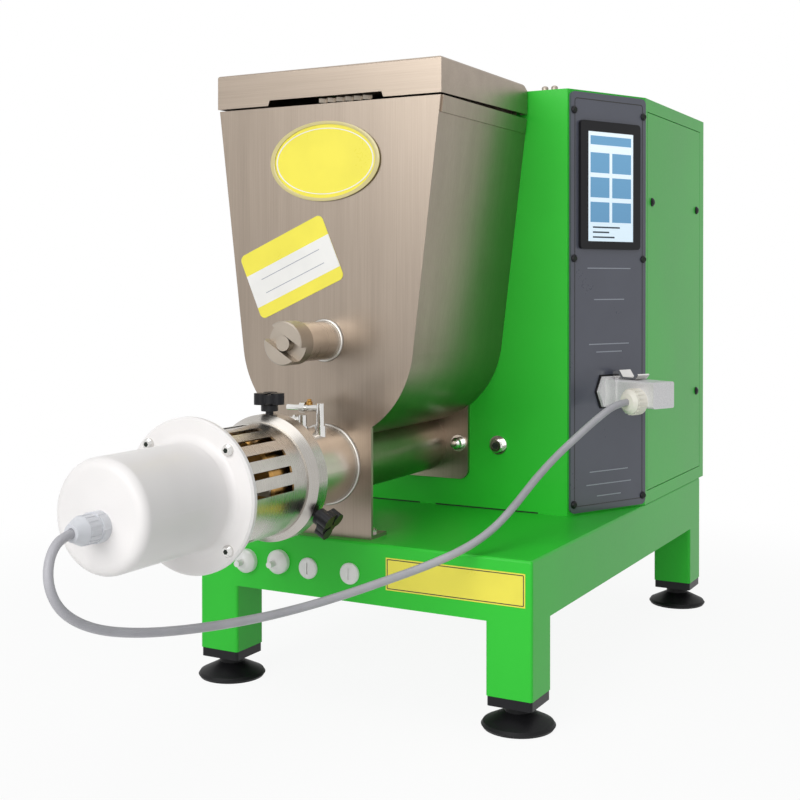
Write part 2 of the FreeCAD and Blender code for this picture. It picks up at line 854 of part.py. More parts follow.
trough_rear = S.cabinet_front - S.rear_sheet


def trough_corners(inset):
    """Section of the trough at one inset from its outer skin, closed below by its arc."""
    radius = S.trough_radius - inset
    half_top = S.hopper_half_top - inset
    x, z = flank_point(radius, half_top)
    low = mixer_z - radius
    return [
        (-half_top, S.hopper_top),
        (-x, z, radius, 1),
        (ZERO, low, radius, 1),
        (x, z),
        (half_top, S.hopper_top),
    ]


def make_hopper():
    front = prism("front_plate_sheet", "XZ_Plane", plate_corners(S.foot_half, S.base_top), S.front_sheet)
    holes = new_sketch(front, "front_holes", "XZ_Plane")
    ring(holes, S.auger_bore, ZERO, S.barrel_z)
    ring(holes, S.bush_radius, ZERO, mixer_z)
    pocket(front, holes, S.front_sheet, back=True)
    tab = new_sketch(front, "foot_tab", "YZ_Plane")
    outline(tab, box_corners(ZERO, S.base_top, S.foot_flange, S.base_top + S.front_sheet))
    pad(front, tab, S.foot_half * 2, both=True)
    place(front, at(S.axis_x, S.hopper_front + S.front_sheet, 0))
    subpart(front, "hopper_front_plate")

    screws = []
    for side in (-1, 1):
        screw = lathe(f"foot_screw_{side + 1}", [
            (ZERO, ZERO),
            (S.screw_head_radius, ZERO),
            (S.screw_head_radius, S.screw_head_height),
            (S.screw_head_radius * 0.6, S.screw_head_height * 1.5),
            (ZERO, S.screw_head_height * 1.5),
        ])
        place(screw, at(S.axis_x + side * (S.foot_half - 8), S.hopper_front + S.foot_flange * 0.7,
                        S.base_top + S.front_sheet))
        screws.append(screw)
    BRIGHT_FIXINGS.extend(screws)

    rear = prism("rear_plate_sheet", "XZ_Plane", plate_corners(S.rear_plate_half, S.rear_plate_bottom),
                 S.rear_sheet)
    rounded(rear, Size.of(9.0), lambda edge, middle: along("y")(edge, middle)
            and middle.z < S.rear_plate_bottom.value + 1)
    holes = new_sketch(rear, "rear_holes", "XZ_Plane")
    ring(holes, S.shaft_radius + 1, ZERO, S.barrel_z)
    ring(holes, S.shaft_radius + 1, ZERO, mixer_z)
    pocket(rear, holes, S.rear_sheet, back=True)
    place(rear, at(S.axis_x, S.cabinet_front, 0))
    subpart(rear, "hopper_rear_plate")

    length = trough_rear - S.hopper_front - S.front_sheet
    outer = prism("trough_outer", "XZ_Plane", trough_corners(ZERO), length)
    inner = prism("trough_inner", "XZ_Plane", trough_corners(S.hopper_sheet), length + 2)
    place(inner, (ZERO, Size.of(1.0), ZERO))
    tube = cylinder("tube_outer", S.auger_tube_radius, length)
    place(tube, (ZERO, ZERO, S.barrel_z), FORWARD)
    bore = cylinder("tube_bore", S.auger_bore, length + 2)
    place(bore, (ZERO, Size.of(1.0), S.barrel_z), FORWARD)
    solid = fuse("trough_solid", [outer, tube])
    hollow = fuse("trough_hollow", [inner, bore])
    trough = cut("trough_shell", solid, hollow)

    # stiffening bands along the top of both flanks
    x, z = flank_point(S.trough_radius, S.hopper_half_top)
    lean = (S.hopper_half_top - x) / (S.hopper_top - z)
    bands = []
    for side in (-1, 1):
        low = S.hopper_half_top - lean * S.rim_band
        corners = [
            (side * low, S.hopper_top - S.rim_band),
            (side * (low + S.rim_band_sheet), S.hopper_top - S.rim_band),
            (side * (S.hopper_half_top + S.rim_band_sheet), S.hopper_top),
            (side * S.hopper_half_top, S.hopper_top),
        ]
        bands.append(prism(f"rim_band_{side + 1}", "XZ_Plane", corners, length))
    banded = fuse("trough_banded", [trough, *bands])
    place(banded, at(S.axis_x, trough_rear, 0))
    subpart(banded, "hopper_trough")

    badge = doc.addObject("Part::Ellipse", "badge_outline")
    bind(badge, "MajorRadius", S.badge_width / 2)
    bind(badge, "MinorRadius", S.badge_height / 2)
    place(badge, (ZERO, ZERO, ZERO))
    plate = doc.addObject("Part::Extrusion", "badge_solid")
    plate.Base = badge
    plate.DirMode = "Custom"
    plate.Dir = Vector(0, 0, 1)
    bind(plate, "LengthFwd", S.badge_sheet)
    plate.Solid = True
    place(plate, at(S.axis_x, S.hopper_front, S.badge_z), FORWARD)
    subpart(plate, "badge_plate")

    nuts = []
    for side in (-1, 1):
        nut = lathe(f"plate_nut_{side + 1}", [
            (ZERO, ZERO),
            (Size.of(7.5), ZERO),
            (Size.of(7.5), Size.of(1.5)),
            (Size.of(5.5), Size.of(1.5)),
            (Size.of(5.5), Size.of(6.0)),
            (Size.of(4.6), Size.of(8.4)),
            (Size.of(2.6), Size.of(9.7)),
            (ZERO, Size.of(10.0)),
        ])
        place(nut, at(S.axis_x + side * (S.rear_plate_half - 9), trough_rear, S.barrel_z + 1), FORWARD)
        nuts.append(nut)
    BRIGHT_FIXINGS.extend(nuts)

    bolts = []
    for side in (-1, 1):
        bolt = lathe(f"gearbox_bolt_{side + 1}", [
            (ZERO, ZERO),
            (Size.of(8.5), ZERO),
            (Size.of(8.5), Size.of(1.6)),
            (Size.of(6.5), Size.of(1.6)),
            (Size.of(6.5), Size.of(6.4)),
            (Size.of(5.4), Size.of(7.6)),
            (ZERO, Size.of(7.6)),
        ])
        place(bolt, at(S.axis_x + side * S.bolt_spread, S.cabinet_front, S.barrel_z + 1), FORWARD)
        bolts.append(bolt)
    BRIGHT_FIXINGS.extend(bolts)
    group("bright_fixings", BRIGHT_FIXINGS)


# Lid of folded sheet on two pins near its top rear corner
lid_bottom = S.hopper_top + S.lid_gap
lid_top = lid_bottom + S.lid_height
lid_half = S.hopper_half_top + S.lid_overhang
lid_rear = S.cabinet_front - 2.0
lid_front = S.hopper_front - S.lid_overhang
pivot_y = S.cabinet_front - S.lid_pivot_back
pivot_z = lid_top - S.lid_pivot_drop


def lid_side(inset):
    cut_back = S.lid_corner_cut
    return [
        (lid_front + inset, lid_bottom - (0 if inset is ZERO else 1)),
        (lid_rear - inset, lid_bottom - (0 if inset is ZERO else 1) + 2.5),
        (lid_rear - inset, lid_top - inset - cut_back * 0.55),
        (lid_rear - inset - cut_back, lid_top - inset),
        (lid_front + inset, lid_top - inset),
    ]


def make_lid():
    shell = prism("lid_outer", "YZ_Plane", lid_side(ZERO), 2 * lid_half, both=True)
    front_edge = lid_front.value + 0.01
    rounded(shell, S.bend_radius * 0.8, lambda edge, middle: middle.z > lid_top.value - 0.01
            and (middle.y < front_edge or abs(middle.x) > lid_half.value - 0.01))
    hollow = new_sketch(shell, "lid_hollow", "YZ_Plane")
    outline(hollow, lid_side(S.lid_sheet))
    pocket(shell, hollow, 2 * (lid_half - S.lid_sheet), both=True)
    notch = new_sketch(shell, "lid_notch", "XZ_Plane", -lid_front)
    half = S.lid_notch_width / 2
    outline(notch, [
        (-half - 2, lid_bottom - 1),
        (half + 2, lid_bottom - 1),
        (half, lid_bottom + S.lid_notch_height),
        (-half, lid_bottom + S.lid_notch_height),
    ])
    pocket(shell, notch, S.lid_sheet * 3, both=True)
    ear_face = S.hopper_half_top - S.ear_inset
    gaps = new_sketch(shell, "lid_ear_gaps", "XZ_Plane", -lid_rear)
    wide = S.ear_sheet / 2 + S.notch_gap
    for side in (-1, 1):
        outline(gaps, box_corners(side * ear_face - wide, lid_bottom - 1,
                                  side * ear_face + wide, pivot_z + S.ear_neck + S.notch_gap * 0.7))
    pocket(shell, gaps, S.lid_sheet * 3, both=True)
    pins = new_sketch(shell, "lid_pin_holes", "YZ_Plane")
    ring(pins, S.pin_radius + S.running_gap, pivot_y, pivot_z)
    pocket(shell, pins, 2 * lid_half + 2, both=True)
    place(shell, at(S.axis_x, 0, 0))
    subpart(shell, "lid")

    ears = []
    for side in (-1, 1):
        ear = prism(f"ear_{side + 1}", "YZ_Plane", [
            (pivot_y - S.ear_radius, pivot_z),
            (pivot_y - S.ear_radius, pivot_z - S.ear_depth),
            (trough_rear, pivot_z - S.ear_depth),
            (trough_rear, pivot_z - S.ear_drop),
            (pivot_y + S.ear_neck, pivot_z - S.ear_drop),
            (pivot_y + S.ear_neck, pivot_z),
        ], S.ear_sheet, both=True)
        eye = ring(new_sketch(ear, f"ear_eye_{side + 1}", "YZ_Plane"), S.ear_radius, pivot_y, pivot_z)
        pad(ear, eye, S.ear_sheet, both=True)
        place(ear, (side * ear_face, ZERO, ZERO))
        pin = cylinder(f"hinge_pin_{side + 1}", S.pin_radius, lid_half - ear_face)
        reach = ear_face if side > 0 else -lid_half
        place(pin, (reach, pivot_y, pivot_z), Rotation(Vector(0, 1, 0), 90))
        both = fuse(f"hinge_ear_{side + 1}", [ear, pin])
        place(both, at(S.axis_x, 0, 0))
        ears.append(both)
    group("hinge_ears", ears)


# Mixer: shaft with cranked paddles in the trough, front boss and cap, gear in the cabinet
def gear_corners(teeth, backlash=0.09):
    """Teeth with straight flanks about the pitch circle, thinner than their gaps."""
    count = int(round(Size.of(teeth).value))
    pitch_radius = S.gear_module * teeth / 2
    tip = pitch_radius + S.gear_module * 0.85
    root = pitch_radius - S.gear_module * 1.1
    step = 360.0 / count
    corners = []
    for number in range(count):
        middle = step * number
        for radius, share in ((root, -0.36), (tip, -0.12), (tip, 0.12), (root, 0.36)):
            narrow = share * (1 - backlash) * step
            angle = Size.of(middle + narrow)
            corners.append((radius * angle.cos(), radius * angle.sin()))
    return corners


def make_gear(name, teeth, z, turn):
    """A gear made of one closed outline, bored for its shaft."""
    corners = gear_corners(teeth)
    points = [Vector(x.value, y.value, 0) for x, y in corners]
    wire = Part.makePolygon(points + [points[0]])
    blank = Part.Face(wire).extrude(Vector(0, 0, S.gear_face.value))
    bore = Part.makeCylinder(S.shaft_radius.value, S.gear_face.value)
    gear = doc.addObject("Part::Feature", name + "_solid")
    gear.Shape = blank.cut(bore)
    place(gear, at(S.axis_x, S.gear_place + S.gear_face, z), FORWARD * Rotation(Vector(0, 0, 1), turn))
    return subpart(gear, name)


def make_mixer():
    boss = lathe("boss", [
        (S.bush_radius, ZERO),
        (S.boss_radius, ZERO),
        (S.boss_radius, -S.boss_end + S.hopper_front),
        (S.bush_radius, -S.boss_end + S.hopper_front),
    ])
    place(boss, at(S.axis_x, S.hopper_front, mixer_z), FORWARD)
    subpart(boss, "mixer_boss")

    bush_length = S.hopper_front + S.front_sheet - S.boss_end
    bush = lathe("bush", [
        (S.shaft_radius + S.running_gap, ZERO),
        (S.bush_radius, ZERO),
        (S.bush_radius, bush_length),
        (S.shaft_radius + S.running_gap, bush_length),
    ])
    place(bush, at(S.axis_x, S.hopper_front + S.front_sheet, mixer_z), FORWARD)
    subpart(bush, "mixer_bush")

    cap = lathe("cap", [
        (ZERO, ZERO),
        (S.cap_radius - 1, ZERO),
        (S.cap_radius, Size.of(1.0)),
        (S.cap_radius, S.cap_length - 1),
        (S.cap_radius - 1, S.cap_length),
        (ZERO, S.cap_length),
    ])
    groove = new_sketch(cap, "cap_groove", "XY_Plane", S.cap_length)
    half = S.cap_groove / 2
    outline(groove, box_corners(-S.cap_radius - 2, -half, S.cap_radius + 2, half))
    pocket(cap, groove, S.cap_groove_depth)
    pin = ring(new_sketch(cap, "cap_pin", "XY_Plane", S.cap_length - S.cap_groove_depth), S.cap_groove * 0.46)
    pad(cap, pin, S.cap_groove_depth - 0.8)
    place(cap, at(S.axis_x, S.boss_end, mixer_z),
          FORWARD * Rotation(Vector(0, 0, 1), S.cap_groove_lean.value))
    subpart(cap, "boss_cap")

    start = S.boss_end + 1
    length = S.gear_place + S.gear_face + 6 - start
    shaft = cylinder("mixer_bar", S.shaft_radius, length)
    place(shaft, (ZERO, ZERO, ZERO), FORWARD)
    pieces = [shaft]
    inside = S.hopper_front + S.front_sheet
    span = trough_rear - inside
    for number in range(4):
        y = inside + span * (0.14 + 0.24 * number)
        turn = 90.0 * number + 45.0
        rod = cylinder(f"paddle_rod_{number}", S.rod_radius, S.paddle_reach - 6)
        direction = Rotation(Vector(0, 1, 0), turn)
        place(rod, (ZERO, y - (S.gear_place + S.gear_face + 6), ZERO), direction)
        blade = prism(f"paddle_blade_{number}", "YZ_Plane", [
            (-S.paddle_width / 2, S.paddle_reach - 20),
            (S.paddle_width / 2, S.paddle_reach - 20),
            (S.paddle_width / 2 * 0.8, S.paddle_reach),
            (-S.paddle_width / 2 * 0.8, S.paddle_reach),
        ], S.paddle_sheet, both=True)
        place(blade, (ZERO, y - (S.gear_place + S.gear_face + 6), ZERO),
              direction * Rotation(Vector(0, 0, 1), 28))
        pieces += [rod, blade]
    mixer = fuse("mixer_fused", pieces)
    place(mixer, at(S.axis_x, S.gear_place + S.gear_face + 6, mixer_z))
    subpart(mixer, "mixer_shaft")
    half_step = 180.0 / S.mixer_teeth.value
    make_gear("mixer_gear", S.mixer_teeth, mixer_z, -90 + half_step)


# Auger: a helical flight on its shaft, in the barrel that runs out through the front plate
def make_auger():
    start = S.barrel_end - 4
    stop = S.motor_front + 30
    shaft = cylinder("auger_bar", S.shaft_radius, stop - start)
    place(shaft, (ZERO, ZERO, ZERO), FORWARD)
    flight_start = trough_rear - 3
    flight_length = flight_start - S.barrel_end
    flight = new_body("flight")
    section = new_sketch(flight, "flight_section", "XZ_Plane")
    half = S.flight_sheet / 2
    outline(section, [
        (S.shaft_radius - 1, -half),
        (S.flight_radius, -half * 0.6),
        (S.flight_radius, half * 0.6),
        (S.shaft_radius - 1, half),
    ])
    helix = flight.newObject("PartDesign::AdditiveHelix", "flight_helix")
    helix.Profile = section
    helix.ReferenceAxis = (section, ["V_Axis"])
    helix.Mode = 0
    bind(helix, "Pitch", S.flight_pitch)
    bind(helix, "Height", flight_length - S.flight_sheet)
    doc.recompute()
    place(flight, (ZERO, flight_start - stop, ZERO), FORWARD)
    screw = fuse("auger_fused", [shaft, flight])
    place(screw, at(S.axis_x, stop, S.barrel_z))
    subpart(screw, "auger_screw")
    make_gear("auger_gear", S.auger_teeth, S.barrel_z, 90)

    barrel = lathe("barrel", [
        (S.auger_bore, ZERO),
        (S.barrel_radius, ZERO),
        (S.barrel_radius, S.hopper_front - S.barrel_end),
        (S.flange_radius, S.hopper_front - S.barrel_end),
        (S.flange_radius, S.hopper_front - S.barrel_end + S.flange_sheet),
        (S.auger_bore, S.hopper_front - S.barrel_end + S.flange_sheet),
    ])
    place(barrel, at(S.axis_x, S.hopper_front, S.barrel_z), FORWARD)
    subpart(barrel, "auger_barrel")

    die = lathe("die", [
        (ZERO, ZERO),
        (S.die_radius, ZERO),
        (S.die_radius, S.die_length - 2),
        (S.die_radius - 2, S.die_length),
        (ZERO, S.die_length),
    ])
    hole = ring(new_sketch(die, "die_hole", "XY_Plane"), S.die_hole_radius, S.die_radius * 0.55, ZERO)
    bored = pocket(die, hole, S.die_length, back=True)
    around(die, bored, S.die_holes)
    place(die, at(S.axis_x, S.barrel_end - S.flange_sheet, S.barrel_z), FORWARD)
    subpart(die, "brass_die")


# Cutter: collar and slotted guard over the die, white housing with the motor, blade on its shaft
def make_cutter():
    reach = S.barrel_end - S.disc_place
    bore = S.flange_radius + 0.2
    guard = lathe("guard", [
        (bore, ZERO),
        (S.collar_radius - 0.8, ZERO),
        (S.collar_radius, Size.of(0.8)),
        (S.collar_radius, S.collar_length - S.collar_lead),
        (S.guard_radius + 0.8, S.collar_length),
        (S.guard_radius, S.collar_length),
        (S.guard_radius, reach),
        (S.guard_radius - S.guard_wall, reach),
        (S.guard_radius - S.guard_wall, S.flange_sheet),
        (bore, S.flange_sheet),
    ])
    slot = new_sketch(guard, "guard_slot", "YZ_Plane")
    half = S.slot_width / 2
    outline(slot, box_corners(-half, S.slot_start + S.barrel_end, half, S.slot_end + S.barrel_end))
    window = pocket(guard, slot, S.collar_radius, back=True)
    around(guard, window, S.slots, 180.0)
    outlet = new_sketch(guard, "guard_outlet", "XZ_Plane")
    outline(outlet, box_corners(-S.outlet_half, S.outlet_start + S.barrel_end, S.outlet_half, reach - 4))
    pocket(guard, outlet, S.collar_radius, back=True)
    studs = new_sketch(guard, "stud_hole", "XZ_Plane")
    ring(studs, S.knob_stud_radius + S.running_gap, ZERO, Size.of(7.0))
    stud = pocket(guard, studs, S.collar_radius)
    around(guard, stud, 3)
    place(guard, at(S.axis_x, S.barrel_end, S.barrel_z), FORWARD)
    subpart(guard, "cutter_guard")

    depth = S.disc_place - S.cup_end
    housing = lathe("housing", [
        (S.cutter_shaft_radius + 1, ZERO),
        (S.disc_radius - 1.5, ZERO),
        (S.disc_radius, Size.of(1.5)),
        (S.disc_radius, S.disc_sheet - 1.5),
        (S.disc_radius - 1.5, S.disc_sheet),
        (S.cup_radius + S.disc_fillet, S.disc_sheet, S.disc_fillet, -1),
        (S.cup_radius, S.disc_sheet + S.disc_fillet),
        (S.cup_radius, depth - S.cup_round, S.cup_round, 1),
        (S.cup_radius - S.cup_round, depth),
        (ZERO, depth),
        (ZERO, depth - S.cup_wall),
        (S.cup_radius - S.cup_wall - 4, depth - S.cup_wall),
        (S.cup_radius - S.cup_wall, depth - S.cup_wall - 4),
        (S.cup_radius - S.cup_wall, S.disc_sheet),
        (S.cutter_shaft_radius + 1, S.disc_sheet),
    ])
    place(housing, at(S.axis_x, S.disc_place, S.barrel_z), FORWARD)
    subpart(housing, "cutter_housing")

    screws = []
    for number in range(4):
        angle = Size.of(45.0 + 90.0 * number)
        screw = lathe(f"disc_screw_{number}", [
            (ZERO, ZERO),
            (S.disc_screw_radius, ZERO),
            (S.disc_screw_radius, Size.of(1.6)),
            (S.disc_screw_radius * 0.7, Size.of(3.6)),
            (ZERO, Size.of(3.6)),
        ])
        place(screw, at(S.axis_x + S.disc_screw_circle * angle.cos(), S.disc_place - S.disc_sheet,
                        S.barrel_z + S.disc_screw_circle * angle.sin()), FORWARD)
        screws.append(screw)
    group("cutter_screws", screws)

    motor_back = S.disc_place - S.disc_sheet
    motor = lathe("cutter_motor_case", [
        (S.cutter_shaft_radius + S.running_gap, ZERO),
        (S.cutter_motor_radius, ZERO),
        (S.cutter_motor_radius, S.cutter_gearbox_length),
        (S.cutter_motor_radius - 4, S.cutter_gearbox_length),
        (S.cutter_motor_radius - 4, S.cutter_motor_length),
        (ZERO, S.cutter_motor_length),
        (ZERO, S.cutter_shaft_grip + 4),
        (S.cutter_shaft_radius + S.running_gap, S.cutter_shaft_grip + 4),
    ])
    place(motor, at(S.axis_x, motor_back, S.barrel_z), FORWARD)
    subpart(motor, "cutter_motor")

    blade_back = S.barrel_end - S.flange_sheet - S.die_length - S.blade_gap
    blade = lathe("blade_hub", [
        (ZERO, ZERO),
        (S.hub_radius, ZERO),
        (S.hub_radius, Size.of(16.0)),
        (S.cutter_shaft_radius, Size.of(16.0)),
        (S.cutter_shaft_radius, blade_back - motor_back + S.cutter_shaft_grip),
        (ZERO, blade_back - motor_back + S.cutter_shaft_grip),
    ])
    knife = new_sketch(blade, "knife", "XY_Plane")
    half = Size.of(5.0)
    outline(knife, [
        (-S.die_radius + 2, -half * 0.4),
        (S.die_radius - 2, -half),
        (S.die_radius - 2, half * 0.4),
        (-S.die_radius + 2, half),
    ])
    pad(blade, knife, S.blade_sheet)
    place(blade, at(S.axis_x, blade_back, S.barrel_z), FORWARD)
    subpart(blade, "cutter_blade")

    for number, name in enumerate(("top", "right", "left")):
        angle = (90.0, -30.0, 210.0)[number]
        knob = new_body(f"knob_{name}")
        section = outline(new_sketch(knob, f"knob_{name}_section", "XZ_Plane"), [
            (ZERO, S.flange_radius + 0.3),
            (S.knob_stud_radius, S.flange_radius + 0.3),
            (S.knob_stud_radius, S.collar_radius + 2.3),
            (S.knob_hub_radius, S.collar_radius + 2.3),
            (S.knob_hub_radius, S.collar_radius + S.knob_hub_height),
            (S.knob_head_radius * 0.72, S.collar_radius + S.knob_hub_height + 2),
            (S.knob_head_radius * 0.72, S.collar_radius + S.knob_hub_height + S.knob_head_height),
            (ZERO, S.collar_radius + S.knob_hub_height + S.knob_head_height),
        ])
        turned(knob, section)
        lobe = ring(new_sketch(knob, f"knob_{name}_lobe", "XY_Plane", S.collar_radius + S.knob_hub_height + 1),
                    S.knob_head_radius * 0.42, S.knob_head_radius * 0.58, ZERO)
        lug = pad(knob, lobe, S.knob_head_height)
        around(knob, lug, 3)
        lean = Rotation(Vector(0, 1, 0), 90.0 - angle)
        place(knob, at(S.axis_x, S.barrel_end - 7, S.barrel_z), lean)
        subpart(knob, f"clamp_knob_{name}")


# Cable connector on the panel, the cord's plug and both glands
def make_connector():
    def slab(name, length, height, thickness, nose):
        return prism(name, "XY_Plane", [
            (-length / 2, ZERO),
            (-length / 2 + nose, -height / 2),
            (length / 2 - nose, -height / 2),
            (length / 2, ZERO),
            (length / 2 - nose, height / 2),
            (-length / 2 + nose, height / 2),
        ], thickness)
    gasket = slab("gasket", S.housing_length + 3, S.housing_height + 3, S.gasket_sheet, 6.0)
    place(gasket, on_panel(S.plug_place, S.plug_z, S.panel_sheet), PANEL)
    subpart(gasket, "connector_gasket")

    housing = slab("bulkhead", S.housing_length, S.housing_height, S.housing_sheet, 6.0)
    body = outline(new_sketch(housing, "bulkhead_box", "XY_Plane", S.housing_sheet), box_corners(
        -S.housing_width / 2, -S.hood_height / 2, S.housing_width / 2, S.hood_height / 2))
    pad(housing, body, S.housing_reach - S.panel_sheet - S.gasket_sheet - S.housing_sheet)
    pivot = S.hood_height / 2 + S.lever_pivot_rise
    lug = new_sketch(housing, "lever_lug", "YZ_Plane")
    out = S.lever_pivot_out
    outline(lug, box_corners(S.hood_height / 2, out - 2.6, pivot + 2.2, out + 2.6))
    pad(housing, lug, S.lever_width - 2 * S.lever_sheet - 0.8, both=True)
    hole = ring(new_sketch(housing, "lever_pin_hole", "YZ_Plane"), S.lever_pin_radius + S.running_gap, pivot, out)
    pocket(housing, hole, S.lever_width, both=True)
    place(housing, on_panel(S.plug_place, S.plug_z, S.panel_sheet + S.gasket_sheet), PANEL)
    subpart(housing, "connector_housing")

    hood = prism("hood", "XY_Plane", box_corners(
        -S.hood_width / 2, -S.hood_height / 2, S.hood_width / 2, S.hood_height / 2),
        S.hood_reach - S.housing_reach)
    rounded(hood, Size.of(2.0), along("z"))
    place(hood, on_panel(S.plug_place, S.plug_z, S.housing_reach), PANEL)
    subpart(hood, "cord_plug")

    sideways = PANEL * Rotation(Vector(0, 1, 0), -90)
    gland = lathe("hood_gland", [
        (S.cord_radius, S.hood_gland_length - 6),
        (S.cord_radius, S.hood_gland_length),
        (S.hood_gland_radius - 4, S.hood_gland_length),
        (S.hood_gland_radius - 1, S.hood_gland_length - 3),
        (S.hood_gland_radius, ZERO),
        (ZERO, ZERO),
        (ZERO, S.hood_gland_length - 6),
    ])
    place(gland, on_panel(S.plug_place - S.hood_width / 2, S.hood_gland_z, S.hood_gland_place), sideways)
    subpart(gland, "plug_gland")

    lever = prism("lever_plate", "YZ_Plane", [
        (pivot + 2.4, out + 4.2),
        (pivot + 4.0, out + 5.0),
        (pivot - 1.8, out + 9.6),
        (pivot - 1.8, S.lever_length - 3),
        (pivot + 1.4, S.lever_length),
        (pivot + 0.4, S.lever_length + 1),
        (pivot - 3.4, S.lever_length - 2.4),
        (pivot - 3.4, out + 8.5),
    ], S.lever_width, both=True)
    cheeks = new_sketch(lever, "lever_cheeks", "YZ_Plane")
    outline(cheeks, [
        (pivot - 2.8, out - 2.8),
        (pivot + 2.6, out - 2.8),
        (pivot + 3.0, out + 4.6),
        (pivot - 2.6, out + 8.8),
    ])
    pad(lever, cheeks, S.lever_width, both=True)
    gap = new_sketch(lever, "lever_gap", "YZ_Plane")
    outline(gap, [
        (pivot - 5.0, out - 4.0),
        (pivot + 4.8, out - 4.0),
        (pivot + 4.8, out + 4.2),
        (pivot + 2.4, out + 4.2),
        (pivot - 3.4, out + 8.5),
        (pivot - 5.0, out + 8.5),
    ])
    pocket(lever, gap, S.lever_width - 2 * S.lever_sheet, both=True)
    pin = ring(new_sketch(lever, "lever_pin", "YZ_Plane"), S.lever_pin_radius, pivot, out)
    pad(lever, pin, S.lever_width, both=True)
    place(lever, on_panel(S.plug_place, S.plug_z, S.panel_sheet + S.gasket_sheet), PANEL)
    subpart(lever, "locking_lever")

    motor_gland = new_body("motor_gland")
    section = outline(new_sketch(motor_gland, "motor_gland_section", "XZ_Plane"), [
        (ZERO, ZERO),
        (S.gland_nut_radius + 0.8, ZERO),
        (S.gland_nut_radius + 0.8, S.gland_length * 0.25),
        (S.gland_nut_radius, S.gland_length * 0.25),
        (S.gland_nut_radius, S.gland_length * 0.7),
        (S.gland_nut_radius * 0.62, S.gland_length),
        (S.cord_radius, S.gland_length),
        (S.cord_radius, S.gland_length - 8),
        (ZERO, S.gland_length - 8),
    ])
    turned(motor_gland, section)
    hexagon = []
    for number in range(6):
        angle = Size.of(60.0 * number)
        hexagon.append((S.gland_hex / 2 * angle.cos(), S.gland_hex / 2 * angle.sin()))
    nut = outline(new_sketch(motor_gland, "motor_gland_hex", "XY_Plane", S.gland_length * 0.06), hexagon)
    pad(motor_gland, nut, S.gland_length * 0.24)
    place(motor_gland, at(S.axis_x + S.gland_shift, S.cup_end, S.barrel_z - S.gland_drop), FORWARD)
    subpart(motor_gland, "motor_gland")


# Route of the cord in the machine frame, from the cutter's gland to the plug's gland
ROUTE = [
    (-32.0, -276.5, 184.0),
    (-32.0, -292.0, 184.0),
    (-30.0, -304.9, 174.6),
    (-27.0, -309.8, 159.4),
    (-24.0, -304.9, 144.2),
    (-21.0, -292.3, 132.8),
    (-18.0, -272.5, 123.2),
    (-13.0, -243.8, 115.5),
    (-6.0, -212.0, 110.5),
    (4.0, -178.0, 107.5),
    (15.0, -143.0, 106.3),
    (29.0, -110.0, 108.2),
    (45.0, -83.0, 112.8),
    (62.5, -60.0, 119.2),
    (80.5, -40.0, 126.2),
    (96.0, -22.0, 133.4),
    (107.5, -3.0, 141.0),
    (114.5, 20.0, 150.0),
    (118.0, 47.0, 161.8),
    (120.5, 79.0, 176.5),
    (126.5, 108.0, 192.0),
    (137.0, 134.5, 208.0),
    (147.5, 156.5, 222.3),
]
ARC_SHARE = 0.45


def cord_path(points):
    """Straight runs joined by tangent arcs, each as large as its two runs allow."""
    edges = []
    radii = []
    begin = points[0]
    for index in range(1, len(points) - 1):
        before = points[index] - points[index - 1]
        after = points[index + 1] - points[index]
        turn = before.getAngle(after)
        shorter = min(before.Length, after.Length)
        radius = ARC_SHARE * shorter / math.tan(turn / 2)
        radii.append(radius)
        back = ARC_SHARE * shorter
        start = points[index] - before.normalize() * back
        stop = points[index] + after.normalize() * back
        bisector = (after - before).normalize()
        centre = points[index] + bisector * (radius / math.cos(turn / 2))
        middle = centre + (points[index] - centre).normalize() * radius
        edges.append(Part.LineSegment(begin, start).toShape())
        edges.append(Part.Arc(start, middle, stop).toShape())
        begin = stop
    edges.append(Part.LineSegment(begin, points[-1]).toShape())
    return Part.Wire(edges), radii


def make_cord():
    points = [Vector(x - middle_x.value, y - middle_y.value, z) for x, y, z in ROUTE]
    face = S.hood_gland_length - 6
    start = on_panel(S.plug_place - S.hood_width / 2 - face, S.hood_gland_z, S.hood_gland_place)
    approach = on_panel(S.plug_place - S.hood_width / 2 - face - 17, S.hood_gland_z, S.hood_gland_place)
    points[0] = Vector(*[size.value for size in at(
        S.axis_x + S.gland_shift, S.cup_end - S.gland_length + 8, S.barrel_z - S.gland_drop)])
    points.append(Vector(*[size.value for size in approach]))
    points.append(Vector(*[size.value for size in start]))
    path, radii = cord_path(points)
    profile = Part.Wire(Part.makeCircle(S.cord_radius.value, points[0], points[1] - points[0]))
    tube = path.makePipeShell([profile], True, False)
    cord = doc.addObject("Part::Feature", "cord_tube")
    cord.Shape = tube
    section = math.pi * S.cord_radius.value ** 2
    print("cord: bend radii", [round(radius, 1) for radius in radii])
    print(f"cord: length {path.Length:.1f}, volume ratio {tube.Volume / (section * path.Length):.5f}")
    place(cord, (ZERO, ZERO, ZERO))
    subpart(cord, "cord")


